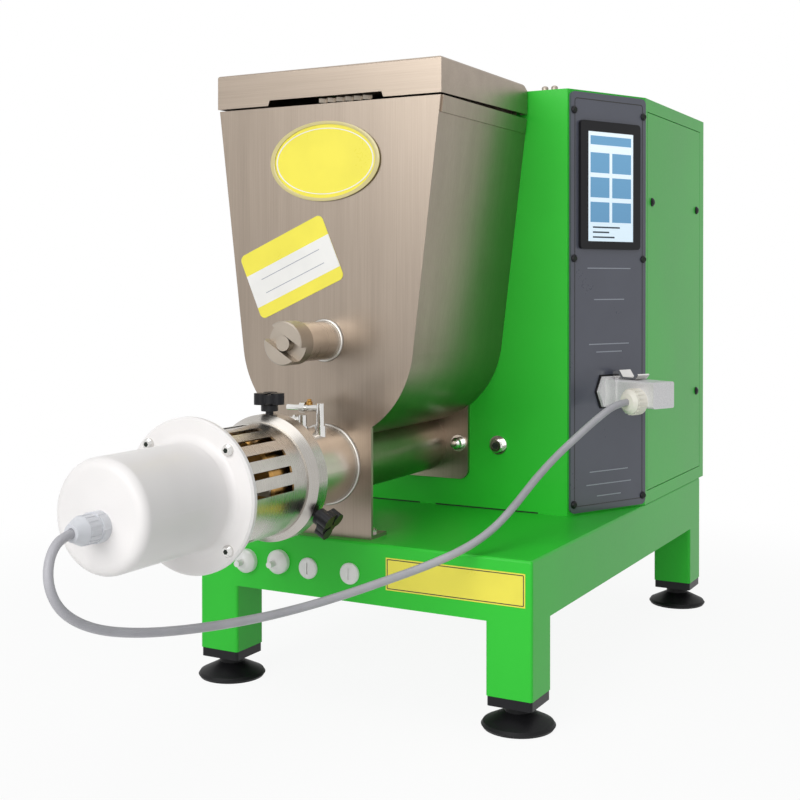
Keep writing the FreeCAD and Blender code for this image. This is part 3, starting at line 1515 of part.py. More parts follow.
# Drive in the cabinet: bearings, gearbox and motor
def make_drive():
    wall = S.cabinet_front + S.cabinet_wall
    bearings = []
    for name, z in (("auger_bearing", S.barrel_z), ("mixer_bearing", mixer_z)):
        bearing = lathe(name + "_ring", [
            (S.shaft_radius + S.running_gap, ZERO),
            (S.bearing_radius, ZERO),
            (S.bearing_radius, S.bearing_length),
            (S.shaft_radius + S.running_gap, S.bearing_length),
        ])
        place(bearing, at(S.axis_x, wall + S.bearing_length, z), FORWARD)
        bearings.append(bearing)
    group("shaft_bearings", bearings)

    half = S.gearbox_width / 2
    gearbox = prism("gearbox_block", "XZ_Plane", box_corners(-half, -half, half, half), S.gearbox_length)
    rounded(gearbox, Size.of(10.0), along("y"))
    hollow = ring(new_sketch(gearbox, "gearbox_bore", "XZ_Plane"), S.shaft_radius + S.running_gap)
    pocket(gearbox, hollow, S.gearbox_length, back=True)
    place(gearbox, (ZERO, ZERO, S.barrel_z - S.base_top))

    ribs = []
    radius = S.motor_radius
    corners = [(ZERO, ZERO), (radius - 4, ZERO)]
    for number in range(3):
        base = 20.0 + number * 36.0
        corners += [
            (radius - 4, Size.of(base)),
            (radius, Size.of(base)),
            (radius, Size.of(base + 20)),
            (radius - 4, Size.of(base + 20)),
        ]
    corners += [(radius - 4, S.motor_length), (ZERO, S.motor_length)]
    motor = lathe("motor_case", corners)
    place(motor, at(S.axis_x, S.motor_front + S.gearbox_length + S.motor_length, S.barrel_z), FORWARD)
    subpart(motor, "main_motor")

    cradle = prism("cradle", "XZ_Plane", box_corners(-half, ZERO, half, S.barrel_z - half - S.base_top),
                   S.gearbox_length)
    block = fuse("gearbox_cast", [gearbox, cradle])
    place(block, at(S.axis_x, S.motor_front + S.gearbox_length, S.base_top))
    subpart(block, "gearbox")


# Fittings: water spigots and blanking plugs on the front rail, elbows on the barrel
def make_fittings():
    spigots = []
    rail_left = -half_width + S.leg_side
    fitting_z = S.base_top - S.fitting_drop
    for index, x in enumerate((rail_left + S.spigot_first, rail_left + S.spigot_second)):
        spigot = lathe(f"spigot_{index}", [
            (ZERO, ZERO),
            (S.spigot_radius, ZERO),
            (S.spigot_radius, S.spigot_reach * 0.45, S.spigot_radius * 1.1, 1),
            (S.spigot_radius * 0.45, S.spigot_reach),
            (Size.of(2.6), S.spigot_reach),
            (Size.of(2.6), S.spigot_reach + 7),
            (ZERO, S.spigot_reach + 7),
        ])
        place(spigot, at(x, 0, fitting_z + (0.0 if index == 0 else 2.5)), FORWARD)
        spigots.append(spigot)
    for index, x in enumerate((rail_left + S.blank_first, rail_left + S.blank_second)):
        plug = lathe(f"blank_{index}", [
            (ZERO, ZERO),
            (S.plug_radius, ZERO),
            (S.plug_radius, Size.of(1.6)),
            (S.plug_radius - 1, Size.of(2.6)),
            (ZERO, Size.of(2.6)),
        ])
        slot = outline(new_sketch(plug, f"blank_slot_{index}", "XY_Plane", Size.of(2.6)),
                       box_corners(-0.8, -4.6, 0.8, 4.6))
        pocket(plug, slot, Size.of(1.2))
        place(plug, at(x, 0, fitting_z), FORWARD)
        spigots.append(plug)
    group("front_fittings", spigots)

    elbows = []
    for number, (x, y, rise, reach) in enumerate((
        (S.elbow_side, S.elbow_place, S.elbow_rise, S.elbow_reach),
        (S.elbow_side - 11, S.elbow_place - 9, S.elbow_rise - 9, S.elbow_reach * 0.4),
    )):
        leg = cylinder(f"elbow_leg_{number}", S.elbow_radius, rise + S.elbow_radius + 0.6)
        place(leg, (x, ZERO, ZERO))
        arm = cylinder(f"elbow_arm_{number}", S.elbow_radius - 0.4, reach * 0.5)
        nut = cylinder(f"elbow_nut_{number}", S.elbow_radius + 1.3, reach * 0.16)
        tail = cylinder(f"elbow_tail_{number}", S.elbow_tail_radius, reach)
        for piece, start in ((arm, ZERO), (nut, reach * 0.42), (tail, ZERO)):
            place(piece, (x - start, ZERO, rise), Rotation(Vector(0, 1, 0), -90))
        collar = cylinder(f"elbow_collar_{number}", S.elbow_radius + 1.2, S.barrel_radius + 3.5)
        place(collar, (x, ZERO, ZERO))
        joined = fuse(f"elbow_{number}", [leg, arm, nut, tail, collar])
        skin = cylinder(f"elbow_skin_{number}", S.barrel_radius, Size.of(40.0))
        place(skin, (ZERO, Size.of(20.0), ZERO), FORWARD)
        seated = cut(f"elbow_seated_{number}", joined, skin)
        place(seated, at(S.axis_x, y, S.barrel_z))
        elbows.append(seated)
    group("cooling_elbows", elbows)


for step in (make_base, make_feet, make_cabinet, make_panel, make_hopper, make_lid, make_mixer, make_auger,
             make_cutter, make_connector, make_cord, make_drive, make_fittings):
    step()
doc.recompute()

os.makedirs("parts", exist_ok=True)
faults = [item.Name for item in doc.Objects if set(item.State) & {"Invalid", "Error"}]
for item in SUBPARTS:
    shape = item.Shape
    if shape.isNull() or not shape.isValid() or not shape.Solids:
        faults.append(item.Label)
if faults:
    raise ValueError(f"these failed: {faults}")
for item in SUBPARTS:
    item.Shape.exportStep(f"parts/{item.Label}.step")
print(f"{len(SUBPARTS)} nodes, {sum(len(item.Shape.Solids) for item in SUBPARTS)} solids")
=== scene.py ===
import math

import bmesh
import bpy
from mathutils import Matrix, Vector


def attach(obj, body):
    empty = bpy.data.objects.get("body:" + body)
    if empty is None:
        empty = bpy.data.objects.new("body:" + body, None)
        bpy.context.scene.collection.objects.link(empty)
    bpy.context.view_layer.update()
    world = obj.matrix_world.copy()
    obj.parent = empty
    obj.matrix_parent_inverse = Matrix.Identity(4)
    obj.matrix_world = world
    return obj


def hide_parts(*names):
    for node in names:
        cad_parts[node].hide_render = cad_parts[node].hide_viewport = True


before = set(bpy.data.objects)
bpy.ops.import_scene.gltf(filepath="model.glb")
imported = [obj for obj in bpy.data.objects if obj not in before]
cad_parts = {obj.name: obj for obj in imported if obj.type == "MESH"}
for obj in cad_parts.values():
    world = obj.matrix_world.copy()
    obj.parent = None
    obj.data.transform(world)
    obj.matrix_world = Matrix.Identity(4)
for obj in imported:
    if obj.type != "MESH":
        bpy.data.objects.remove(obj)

bl_info = {
    "name": "Pasta extruder looks",
    "version": (1, 0, 0),
    "blender": (4, 5, 0),
    "location": "View3D > Sidebar > Extruder",
    "description": "Surfaces, trim and studio for a countertop pasta extruder",
    "category": "Object",
}

# Middle of the machine in its own measure, in millimetres: x from the base's middle, y from its front
MIDDLE = (8.64260, 93.75)
AXIS_X = -34.0
BARREL_Z = 189.0
MIXER_Z = 290.0
PLATE_Y = 10.5
HALF_WIDTH = 152.5
CABINET_FRONT = 182.0
CABINET_TOP = 508.0
SCREW_HEAD = 2.2
DISC_FRONT = -168.0
DISC_SCREW_HEAD = 3.6
DISC_SCREW_CIRCLE = 48.6
BOLT_SPREAD = 78.0
BOLT_HEAD = 7.6
BADGE_Z = 436.0
BADGE_WIDE = 51.5
BADGE_HIGH = 32.0
PLUG_Z = 233.5
PLUG_OUT = 44.0
PLUG_ACROSS = 42.6
SIDE_SCREWS = [(291.0, 412.7), (443.5, 412.7), (443.5, 223.9), (291.0, 223.9)]
PANEL_SCREWS = [(across, z) for across in (5.5, 92.0) for z in (489.5, 358.5, 141.0)]
CHAMFER = Vector((110.0, CABINET_FRONT))
ALONG = Vector((42.5, 88.5)).normalized()
OUTWARD = Vector((ALONG.y, -ALONG.x))
PANEL_FACE = 2.5
PANEL_MIDDLE = 49.1
PRINT_LOW = PANEL_FACE - 0.1
PRINT_HIGH = PANEL_FACE + 0.12
PANEL_RULES = ((350.0, 27.0), (322.0, 19.0), (282.0, 25.0), (275.0, 16.0), (168.0, 24.0), (156.5, 28.0),
               (146.0, 15.0))
GLASS_FACE = PANEL_FACE + 3.0 - 0.3
GLASS_LOW = GLASS_FACE - 0.05
GLASS_HIGH = GLASS_FACE + 0.08
SOCKET_RADIUS = 1.9
SOCKET_LOW = -0.3
SOCKET_HIGH = 0.05
TAG_LEAN = 23.5
TAG_WIDE = 88
TAG_HIGH = 57
TAG_CORNER = 5
FRONT_LABEL = (28.8, 95.6, 147.1, 121.1)
CAMERA_PLACE = (510.84, -861.71, 336.65)
CAMERA_YAW = 28.58
CAMERA_DOWN = 0.44
CAMERA_LENS = 56.65
CAMERA_SHIFT = -0.134
ROOT = "machine"


def at(x, y, z):
    """Row-frame point in metres from the machine's own millimetres."""
    return Vector(((x - MIDDLE[0]) / 1000, (y - MIDDLE[1]) / 1000, z / 1000))


def on_panel(across, up, out):
    """A point given across the panel from its left edge, up from the floor and out of its face."""
    spot = CHAMFER + ALONG * across + OUTWARD * out
    return at(spot.x, spot.y, up)


def axes(right, up, origin):
    """A matrix whose x, y and z run along right, up and their cross product."""
    normal = right.cross(up)
    turn = Matrix((right, up, normal)).transposed().to_4x4()
    return Matrix.Translation(origin) @ turn


LEVEL = axes(Vector((1, 0, 0)), Vector((0, 1, 0)), at(0, 0, 0))
FRONT = axes(Vector((1, 0, 0)), Vector((0, 0, 1)), at(0, 0, 0))
PANEL = axes(Vector((ALONG.x, ALONG.y, 0)), Vector((0, 0, 1)), on_panel(0, 0, 0))


# Node arithmetic for the procedural surfaces
class Flow:
    """A value in a shader tree that takes ordinary arithmetic."""

    def __init__(self, tree, socket):
        self.tree = tree
        self.socket = socket

    def maths(self, operation, *values):
        node = add_node(self.tree, "ShaderNodeMath", {"operation": operation}, dict(enumerate(values)))
        return Flow(self.tree, node.outputs[0])

    def __add__(self, other):
        return self.maths("ADD", self, other)

    def __sub__(self, other):
        return self.maths("SUBTRACT", self, other)

    def __rsub__(self, other):
        return self.maths("SUBTRACT", other, self)

    def __mul__(self, other):
        return self.maths("MULTIPLY", self, other)

    __radd__ = __add__
    __rmul__ = __mul__

    def between(self, low, high, new_low=0.0, new_high=1.0):
        """Map one range smoothly on to another, held at both ends."""
        node = add_node(self.tree, "ShaderNodeMapRange", {"interpolation_type": "SMOOTHSTEP"}, {
            "Value": self, "From Min": low, "From Max": high, "To Min": new_low, "To Max": new_high})
        return Flow(self.tree, node.outputs["Result"])

    def blend(self, first, second):
        """Colour between first at 0 and second at 1."""
        node = add_node(self.tree, "ShaderNodeMix", {"data_type": "RGBA"}, {
            "Factor": self, 6: first, 7: second})
        return Flow(self.tree, node.outputs[2])


def feed(tree, value, socket):
    """Link a Flow, or set a plain value."""
    if isinstance(value, Flow):
        tree.links.new(value.socket, socket)
    elif isinstance(value, (tuple, list)) and len(value) == 3 and socket.type == "RGBA":
        socket.default_value = (*value, 1.0)
    else:
        socket.default_value = value


def add_node(tree, kind, settings=None, values=None):
    """Add a shader node: its settings first, then the values or links of its sockets."""
    node = tree.nodes.new(kind)
    for name, value in (settings or {}).items():
        setattr(node, name, value)
    for key, value in (values or {}).items():
        feed(tree, value, node.inputs[key])
    return node


class Surface:
    """A material with a Principled shader and the textures that drive it."""

    def __init__(self, name, **constants):
        self.material = bpy.data.materials.new(name)
        self.material.use_nodes = True
        self.tree = self.material.node_tree
        self.shader = next(node for node in self.tree.nodes if node.type == "BSDF_PRINCIPLED")
        coordinates = add_node(self.tree, "ShaderNodeTexCoord")
        self.place = Flow(self.tree, coordinates.outputs["Object"])
        for field, value in constants.items():
            self.set(field.replace("_", " "), value)

    def set(self, field, value):
        feed(self.tree, value, self.shader.inputs[field])

    def noise(self, scale, detail=3.0, roughness=0.5, stretch=(1, 1, 1)):
        mapping = add_node(self.tree, "ShaderNodeMapping", None, {"Vector": self.place, "Scale": stretch})
        node = add_node(self.tree, "ShaderNodeTexNoise", None, {
            "Vector": Flow(self.tree, mapping.outputs["Vector"]),
            "Scale": scale, "Detail": detail, "Roughness": roughness})
        return Flow(self.tree, node.outputs[0])

    def axis(self, name):
        node = add_node(self.tree, "ShaderNodeSeparateXYZ", None, {0: self.place})
        return Flow(self.tree, node.outputs[name])

    def bump(self, height, strength, distance):
        node = add_node(self.tree, "ShaderNodeBump", None, {
            "Height": height, "Strength": strength, "Distance": distance})
        self.set("Normal", Flow(self.tree, node.outputs["Normal"]))


def mix_seen(tree, lit, seen, share=1.0):
    """Show the seen shader to camera, gloss and glass rays, and use the lit one for all other light."""
    path = add_node(tree, "ShaderNodeLightPath")
    rays = [Flow(tree, path.outputs[f"Is {kind} Ray"]) for kind in ("Camera", "Glossy", "Transmission")]
    factor = (rays[0] + rays[1] + rays[2]).between(0.0, 1.0) * share
    mixed = add_node(tree, "ShaderNodeMixShader", None, {
        "Fac": factor, 1: Flow(tree, lit.outputs[0]), 2: Flow(tree, seen.outputs[0])})
    return Flow(tree, mixed.outputs[0])


def shade(colour, factor):
    return tuple(min(1.0, channel * factor) for channel in colour)


def powder_coat(name, colour, roughness=0.38, peel=0.10):
    """Baked powder paint: soft orange peel, faint tone drift and a little dust in the sheen."""
    surface = Surface(name, Metallic=0.0, IOR=1.5, Specular_IOR_Level=0.3)
    drift = surface.noise(6.0, 4.0)
    grain = surface.noise(1400.0, 2.0)
    fine = surface.noise(420.0, 3.0, 0.6)
    tone = drift.between(0.3, 0.7).blend(shade(colour, 0.93), shade(colour, 1.05))
    surface.set("Base Color", tone)
    surface.set("Roughness", drift * 0.08 + fine * 0.06 + (roughness - 0.07))
    surface.bump(fine * 0.7 + grain * 0.3, peel, 0.0004)
    surface.set("Coat Weight", drift.between(0.2, 0.8, 0.02, 0.06))
    return surface.material


def brushed(name, colour, stretch, roughness=0.33, depth=0.06):
    """Brushed sheet: long fine lines along one axis with blurred, uneven sheen and a few faint scuffs."""
    surface = Surface(name, Metallic=1.0)
    lines = surface.noise(900.0, 4.0, 0.65, stretch)
    bands = surface.noise(60.0, 3.0, 0.5, stretch)
    cloud = surface.noise(7.0, 5.0, 0.6)
    scuff = surface.noise(38.0, 6.0, 0.75, (1, 1, 0.4)).between(0.66, 0.8)
    tone = (lines * 0.6 + bands * 0.4).between(0.25, 0.75).blend(shade(colour, 0.88), shade(colour, 1.1))
    surface.set("Base Color", (scuff * 0.25).blend(tone, shade(colour, 1.12)))
    surface.set("Roughness", lines * 0.12 + cloud * 0.14 + scuff * 0.06 + (roughness - 0.13))
    surface.bump(lines, depth, 0.0002)
    return surface.material


def turned_metal(name, colour, roughness=0.22):
    """Lathe-turned metal: tight rings round the barrel axis and small handling marks."""
    surface = Surface(name, Metallic=1.0)
    rings = surface.noise(1500.0, 2.0, 0.5, (0.01, 1, 0.01))
    cloud = surface.noise(22.0, 4.0)
    surface.set("Base Color", cloud.between(0.3, 0.7).blend(shade(colour, 0.86), shade(colour, 1.08)))
    surface.set("Roughness", rings * 0.12 + cloud * 0.12 + (roughness - 0.12))
    surface.bump(rings, 0.012, 0.0002)
    return surface.material


def moulded(name, colour, roughness=0.4, grain_depth=0.08, grain_scale=900.0, coat=0.0, gloss=0.5):
    """Moulded plastic or rubber: even tone with fine grain and faint rubbing marks."""
    surface = Surface(name, Metallic=0.0, IOR=1.48, Specular_IOR_Level=gloss)
    grain = surface.noise(grain_scale, 2.0, 0.5)
    cloud = surface.noise(18.0, 4.0, 0.6)
    rub = surface.noise(70.0, 5.0, 0.7).between(0.62, 0.8)
    tone = cloud.between(0.3, 0.7).blend(shade(colour, 0.9), shade(colour, 1.08))
    surface.set("Base Color", (rub * 0.22).blend(tone, shade(colour, 1.25)))
    surface.set("Roughness", grain * 0.08 + cloud * 0.08 - rub * 0.05 + (roughness - 0.06))
    surface.set("Coat Weight", cloud.between(0.2, 0.8, coat * 0.8, coat))
    surface.bump(grain, grain_depth, 0.0003)
    return surface.material


def cast_metal(name, colour, roughness=0.42):
    """Blasted die casting: metallic with a fine even grain."""
    surface = Surface(name)
    grain = surface.noise(1300.0, 3.0, 0.6)
    cloud = surface.noise(14.0, 4.0)
    surface.set("Metallic", cloud.between(0.2, 0.8, 0.20, 0.30))
    surface.set("Base Color", grain.between(0.3, 0.7).blend(shade(colour, 0.88), shade(colour, 1.06)))
    surface.set("Roughness", cloud * 0.12 + grain * 0.08 + (roughness - 0.1))
    surface.bump(grain, 0.12, 0.0003)
    return surface.material


def label_film(name, colour, coat=0.25):
    """Printed film under a clear gloss layer."""
    surface = Surface(name, Metallic=0.0)
    cloud = surface.noise(30.0, 3.0)
    fine = surface.noise(500.0, 2.0)
    surface.set("Base Color", cloud.between(0.3, 0.7).blend(shade(colour, 0.96), shade(colour, 1.02)))
    surface.set("Roughness", cloud * 0.06 + fine * 0.04 + 0.24)
    surface.set("Coat Weight", cloud.between(0.2, 0.8, coat * 0.8, coat))
    surface.bump(fine, 0.02, 0.0001)
    return surface.material


def lit_glass(name, low, high, strength):
    """The display: a soft backlight under glossy glass."""
    surface = Surface(name, Metallic=0.0)
    level = surface.axis("Z").between(0.37, 0.475)
    cloud = surface.noise(60.0, 2.0)
    surface.set("Base Color", shade(low, 0.6))
    glow = level.blend(low, high)
    surface.set("Emission Color", glow)
    surface.set("Emission Strength", strength)
    surface.set("Roughness", cloud * 0.05 + 0.1)
    return surface.material


# Mesh helpers
def publish(mesh, name, material, body=ROOT, smooth=35.0):
    """Turn a bmesh into a finished piece that rides on one body."""
    bmesh.ops.remove_doubles(mesh, verts=mesh.verts, dist=1e-7)
    bmesh.ops.recalc_face_normals(mesh, faces=mesh.faces)
    if any(len(edge.link_faces) != 2 for edge in mesh.edges):
        raise RuntimeError(f"{name} isn't closed")
    data = bpy.data.meshes.new(name)
    mesh.to_mesh(data)
    mesh.free()
    data.materials.append(material)
    for face in data.polygons:
        face.use_smooth = True
    data.set_sharp_from_angle(angle=math.radians(smooth))
    piece = bpy.data.objects.new(name, data)
    bpy.context.scene.collection.objects.link(piece)
    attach(piece, body)
    return piece


def lift(mesh, faces, matrix, height):
    """Extrude flat faces along a matrix's z, in millimetres, into a closed piece."""
    out = bmesh.ops.extrude_face_region(mesh, geom=faces)
    moved = [item for item in out["geom"] if isinstance(item, bmesh.types.BMVert)]
    bmesh.ops.translate(mesh, vec=matrix.to_3x3() @ Vector((0, 0, height / 1000)), verts=moved)


def add_slab(mesh, matrix, outline, low, high):
    """A flat piece: an outline in a matrix's xy plane in millimetres, thick from low to high."""
    face = mesh.faces.new([
        mesh.verts.new(matrix @ Vector((x / 1000, y / 1000, low / 1000))) for x, y in outline])
    lift(mesh, [face], matrix, high - low)


def add_lathe(mesh, section, origin, axis, segments=48):
    """A closed ring or solid: section points are (radius, along) in millimetres about the axis."""
    axis = Vector(axis).normalized()
    side = axis.orthogonal().normalized()
    points = [origin + (side * radius + axis * along) / 1000 for radius, along in section]
    verts = [mesh.verts.new(point) for point in points]
    edges = [mesh.edges.new((verts[index], verts[(index + 1) % len(verts)])) for index in range(len(verts))
             if section[index][0] > 1e-6 or section[(index + 1) % len(verts)][0] > 1e-6]
    bmesh.ops.spin(mesh, geom=verts + edges, cent=origin, axis=axis, angle=math.tau, steps=segments,
                   use_merge=True, use_duplicate=False)


def circle_section(radius_at, along_at, radius, count=10):
    return [(radius_at + radius * math.cos(math.tau * k / count),
             along_at + radius * math.sin(math.tau * k / count)) for k in range(count)]


def rounded_outline(width, height, corner, x=0.0, y=0.0, steps=6):
    points = []
    for cx, cy, start in ((1, 1, 0), (-1, 1, 90), (-1, -1, 180), (1, -1, 270)):
        for step in range(steps + 1):
            angle = math.radians(start + 90 * step / steps)
            points.append((x + cx * (width / 2 - corner) + corner * math.cos(angle),
                           y + cy * (height / 2 - corner) + corner * math.sin(angle)))
    return points


def add_frame_line(mesh, matrix, width, height, corner, line, low, high, x=0.0, y=0.0):
    """A closed thin border: two rounded loops bridged into a ring, then lifted."""
    edges = []
    for inside in (0.0, line):
        points = rounded_outline(width - 2 * inside, height - 2 * inside, max(corner - inside, 0.2), x, y)
        loop = [mesh.verts.new(matrix @ Vector((px / 1000, py / 1000, low / 1000))) for px, py in points]
        edges += [mesh.edges.new((loop[index - 1], loop[index])) for index in range(len(loop))]
    lift(mesh, bmesh.ops.bridge_loops(mesh, edges=edges)["faces"], matrix, high - low)


def box_outline(x0, y0, x1, y1):
    return [(x0, y0), (x1, y0), (x1, y1), (x0, y1)]


def paint(material, *nodes):
    """Give CAD nodes one material."""
    for name in nodes:
        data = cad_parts[name].data
        data.materials.clear()
        data.materials.append(material)


# Settings that a user would change
class ExtruderColours(bpy.types.PropertyGroup):
    body: bpy.props.FloatVectorProperty(
        name="Body", description="Powder coat of base and cabinet", subtype="COLOR",
        default=(0.028, 0.560, 0.034))
    steel: bpy.props.FloatVectorProperty(
        name="Steel", description="Brushed sheet of the hopper", subtype="COLOR",
        default=(0.33, 0.275, 0.225))
    panel: bpy.props.FloatVectorProperty(
        name="Panel", description="Control panel face", subtype="COLOR", default=(0.090, 0.096, 0.125))
    label: bpy.props.FloatVectorProperty(
        name="Labels", description="Yellow of the labels", subtype="COLOR", default=(0.88, 0.78, 0.07))


class ExtruderSizes(bpy.types.PropertyGroup):
    cord_radius: bpy.props.FloatProperty(
        name="Cord radius", description="Radius of the grey cord", default=0.0031, unit="LENGTH")
    floor_size: bpy.props.FloatProperty(
        name="Floor size", description="Side of the studio floor", default=14.0, unit="LENGTH")


MATERIALS = {}


class OBJECT_OT_surfaces(bpy.types.Operator):
    """Make every surface and give the CAD pieces theirs"""

    bl_idname = "extruder.surfaces"
    bl_label = "Surfaces"

    def execute(self, context):
        colours = context.scene.extruder_colours
        body = tuple(colours.body)
        steel = tuple(colours.steel)
        MATERIALS.update({
            "green": powder_coat("green powder coat", body),
            "white": powder_coat("white powder coat", (0.84, 0.815, 0.80), 0.36, 0.05),
            "slate": label_film("slate panel film", tuple(colours.panel), 0.15),
            "sheet": brushed("brushed sheet", steel, (1, 1, 0.012)),
            # The lid's steel is lifted 8% above the hopper sheet's: painted sheen for the light its front
            # reflects
            "lid": brushed("brushed lid with painted sheen", shade(steel, 1.08), (0.012, 1, 1), 0.36),
            "flank": brushed("brushed flank", shade(steel, 1.05), (1, 1, 0.012), 0.36),
            "turned": turned_metal("turned steel", (0.57, 0.515, 0.455), 0.3),
            "bright": turned_metal("bright steel", (0.74, 0.73, 0.71), 0.14),
            "cap": turned_metal("cap steel", (0.36, 0.315, 0.265), 0.42),
            "guard": turned_metal("guard steel", (0.50, 0.475, 0.44), 0.28),
            "bronze": turned_metal("die bronze", (0.50, 0.28, 0.085), 0.3),
            "gear": turned_metal("gear steel", (0.4, 0.4, 0.4), 0.3),
            "cast": cast_metal("die casting", (0.74, 0.73, 0.735)),
            "motor": powder_coat("motor paint", (0.12, 0.13, 0.14), 0.45, 0.14),
            "rubber": moulded("black rubber", (0.008, 0.008, 0.009), 0.5, 0.12, 700.0, gloss=0.2),
            "black": moulded("black plastic", (0.008, 0.008, 0.010), 0.36, 0.07, 1100.0, gloss=0.25),
            "ivory": moulded("ivory plastic", (0.84, 0.81, 0.72), 0.42, 0.05),
            "gland": moulded("grey gland", (0.62, 0.63, 0.66), 0.4, 0.05),
            "plain": moulded("white plastic", (0.78, 0.78, 0.76), 0.3, 0.03, 500.0, 0.2),
            "cord": moulded("cord sheath", (0.42, 0.415, 0.44), 0.42, 0.05, 1500.0),
            "yellow": label_film("yellow film", tuple(colours.label)),
            "paper": label_film("white film", (0.84, 0.83, 0.80)),
            "ink": label_film("dark print", (0.018, 0.018, 0.02), 0.1),
            "pale": label_film("pale print", (0.33, 0.35, 0.4), 0.1),
            "gold": label_film("gold rim", (0.60, 0.52, 0.22), 0.5),
            # Near-black painted shade: the shadow in the gap at the cabinet's foot and in the screws' socket
            # recesses
            "painted_shade": moulded("shadow gap", (0.006, 0.012, 0.006), 0.8, 0.02),
            "weld": turned_metal("weld bead", (0.52, 0.50, 0.47), 0.3),
            "screen": lit_glass("display", (0.62, 0.75, 0.84), (0.82, 0.90, 0.95), 0.75),
            "tile": lit_glass("display tiles", (0.10, 0.27, 0.46), (0.14, 0.36, 0.58), 0.7),
            "mark": lit_glass("display marks", (0.03, 0.05, 0.08), (0.03, 0.05, 0.08), 0.3),
        })
        take = MATERIALS.get
        paint(take("green"), "welded_base", "cabinet_shell", "side_cover", "rear_cover")
        paint(take("slate"), "control_panel")
        paint(take("white"), "cutter_housing")
        paint(take("sheet"), "hopper_front_plate", "hopper_rear_plate", "hinge_ears")
        paint(take("flank"), "hopper_trough")
        paint(take("lid"), "lid")
        paint(take("guard"), "cutter_guard")
        paint(take("cap"), "boss_cap")
        paint(take("turned"), "mixer_boss", "auger_barrel", "auger_screw", "mixer_shaft",
              "shaft_bearings", "cutter_blade")
        paint(take("bright"), "bright_fixings", "cutter_screws", "cooling_elbows", "locking_lever")
        paint(take("bronze"), "brass_die", "mixer_bush")
        paint(take("cast"), "connector_housing", "cord_plug")
        paint(take("gear"), "auger_gear", "mixer_gear")
        paint(take("motor"), "gearbox", "main_motor", "cutter_motor")
        paint(take("rubber"), "foot_front_left", "foot_front_right", "foot_rear_left", "foot_rear_right",
              "connector_gasket")
        paint(take("black"), "leg_plugs", "clamp_knob_top", "clamp_knob_right", "clamp_knob_left",
              "screen_bezel", "mains_inlet", "mains_rocker", "dark_screws")
        paint(take("ivory"), "plug_gland")
        paint(take("gland"), "motor_gland")
        paint(take("plain"), "front_fittings")
        paint(take("yellow"), "badge_plate")
        paint(take("screen"), "screen_display")
        paint(take("cord"), "cord")
        return {"FINISHED"}


CORD_ROUTE = [
    (-32.0, -276.5, 184.0),
    (-32.0, -292.0, 184.0),
    (-30.0, -304.9, 174.6),
    (-27.0, -309.8, 159.4),
    (-24.0, -304.9, 144.2),
    (-21.0, -292.3, 132.8),
    (-18.0, -272.5, 123.2),
    (-13.0, -243.8, 115.5),
    (-6.0, -212.0, 110.5),
    (4.0, -178.0, 107.5),
    (15.0, -143.0, 106.3),
    (29.0, -110.0, 108.2),
    (45.0, -83.0, 112.8),
    (62.5, -60.0, 119.2),
    (80.5, -40.0, 126.2),
    (96.0, -22.0, 133.4),
    (107.5, -3.0, 141.0),
    (114.5, 20.0, 150.0),
    (118.0, 47.0, 161.8),
    (120.5, 79.0, 176.5),
    (126.5, 108.0, 192.0),
    (137.0, 134.5, 208.0),
    (147.5, 156.5, 222.3),
]


class OBJECT_OT_cord(bpy.types.Operator):
    """Draw the cord from the cutter's gland to its plug"""

    bl_idname = "extruder.cord"
    bl_label = "Cord"

    def execute(self, context):
        points = [at(*point) for point in CORD_ROUTE]
        points.append(on_panel(PLUG_ACROSS - 25, PLUG_Z, PLUG_OUT))
        points.append(on_panel(PLUG_ACROSS - 8, PLUG_Z, PLUG_OUT))
        curve = bpy.data.curves.new("cord_sheath", "CURVE")
        curve.dimensions = "3D"
        curve.bevel_depth = context.scene.extruder_sizes.cord_radius
        curve.bevel_resolution = 5
        curve.use_fill_caps = True
        spline = curve.splines.new("NURBS")
        spline.points.add(len(points) - 1)
        for place, point in zip(spline.points, points):
            place.co = (*point, 1.0)
        spline.order_u = 3
        spline.use_endpoint_u = True
        spline.resolution_u = 8
        curve.materials.append(MATERIALS["cord"])
        piece = bpy.data.objects.new("cord_sheath", curve)
        context.scene.collection.objects.link(piece)
        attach(piece, ROOT)
        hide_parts("cord")
        return {"FINISHED"}


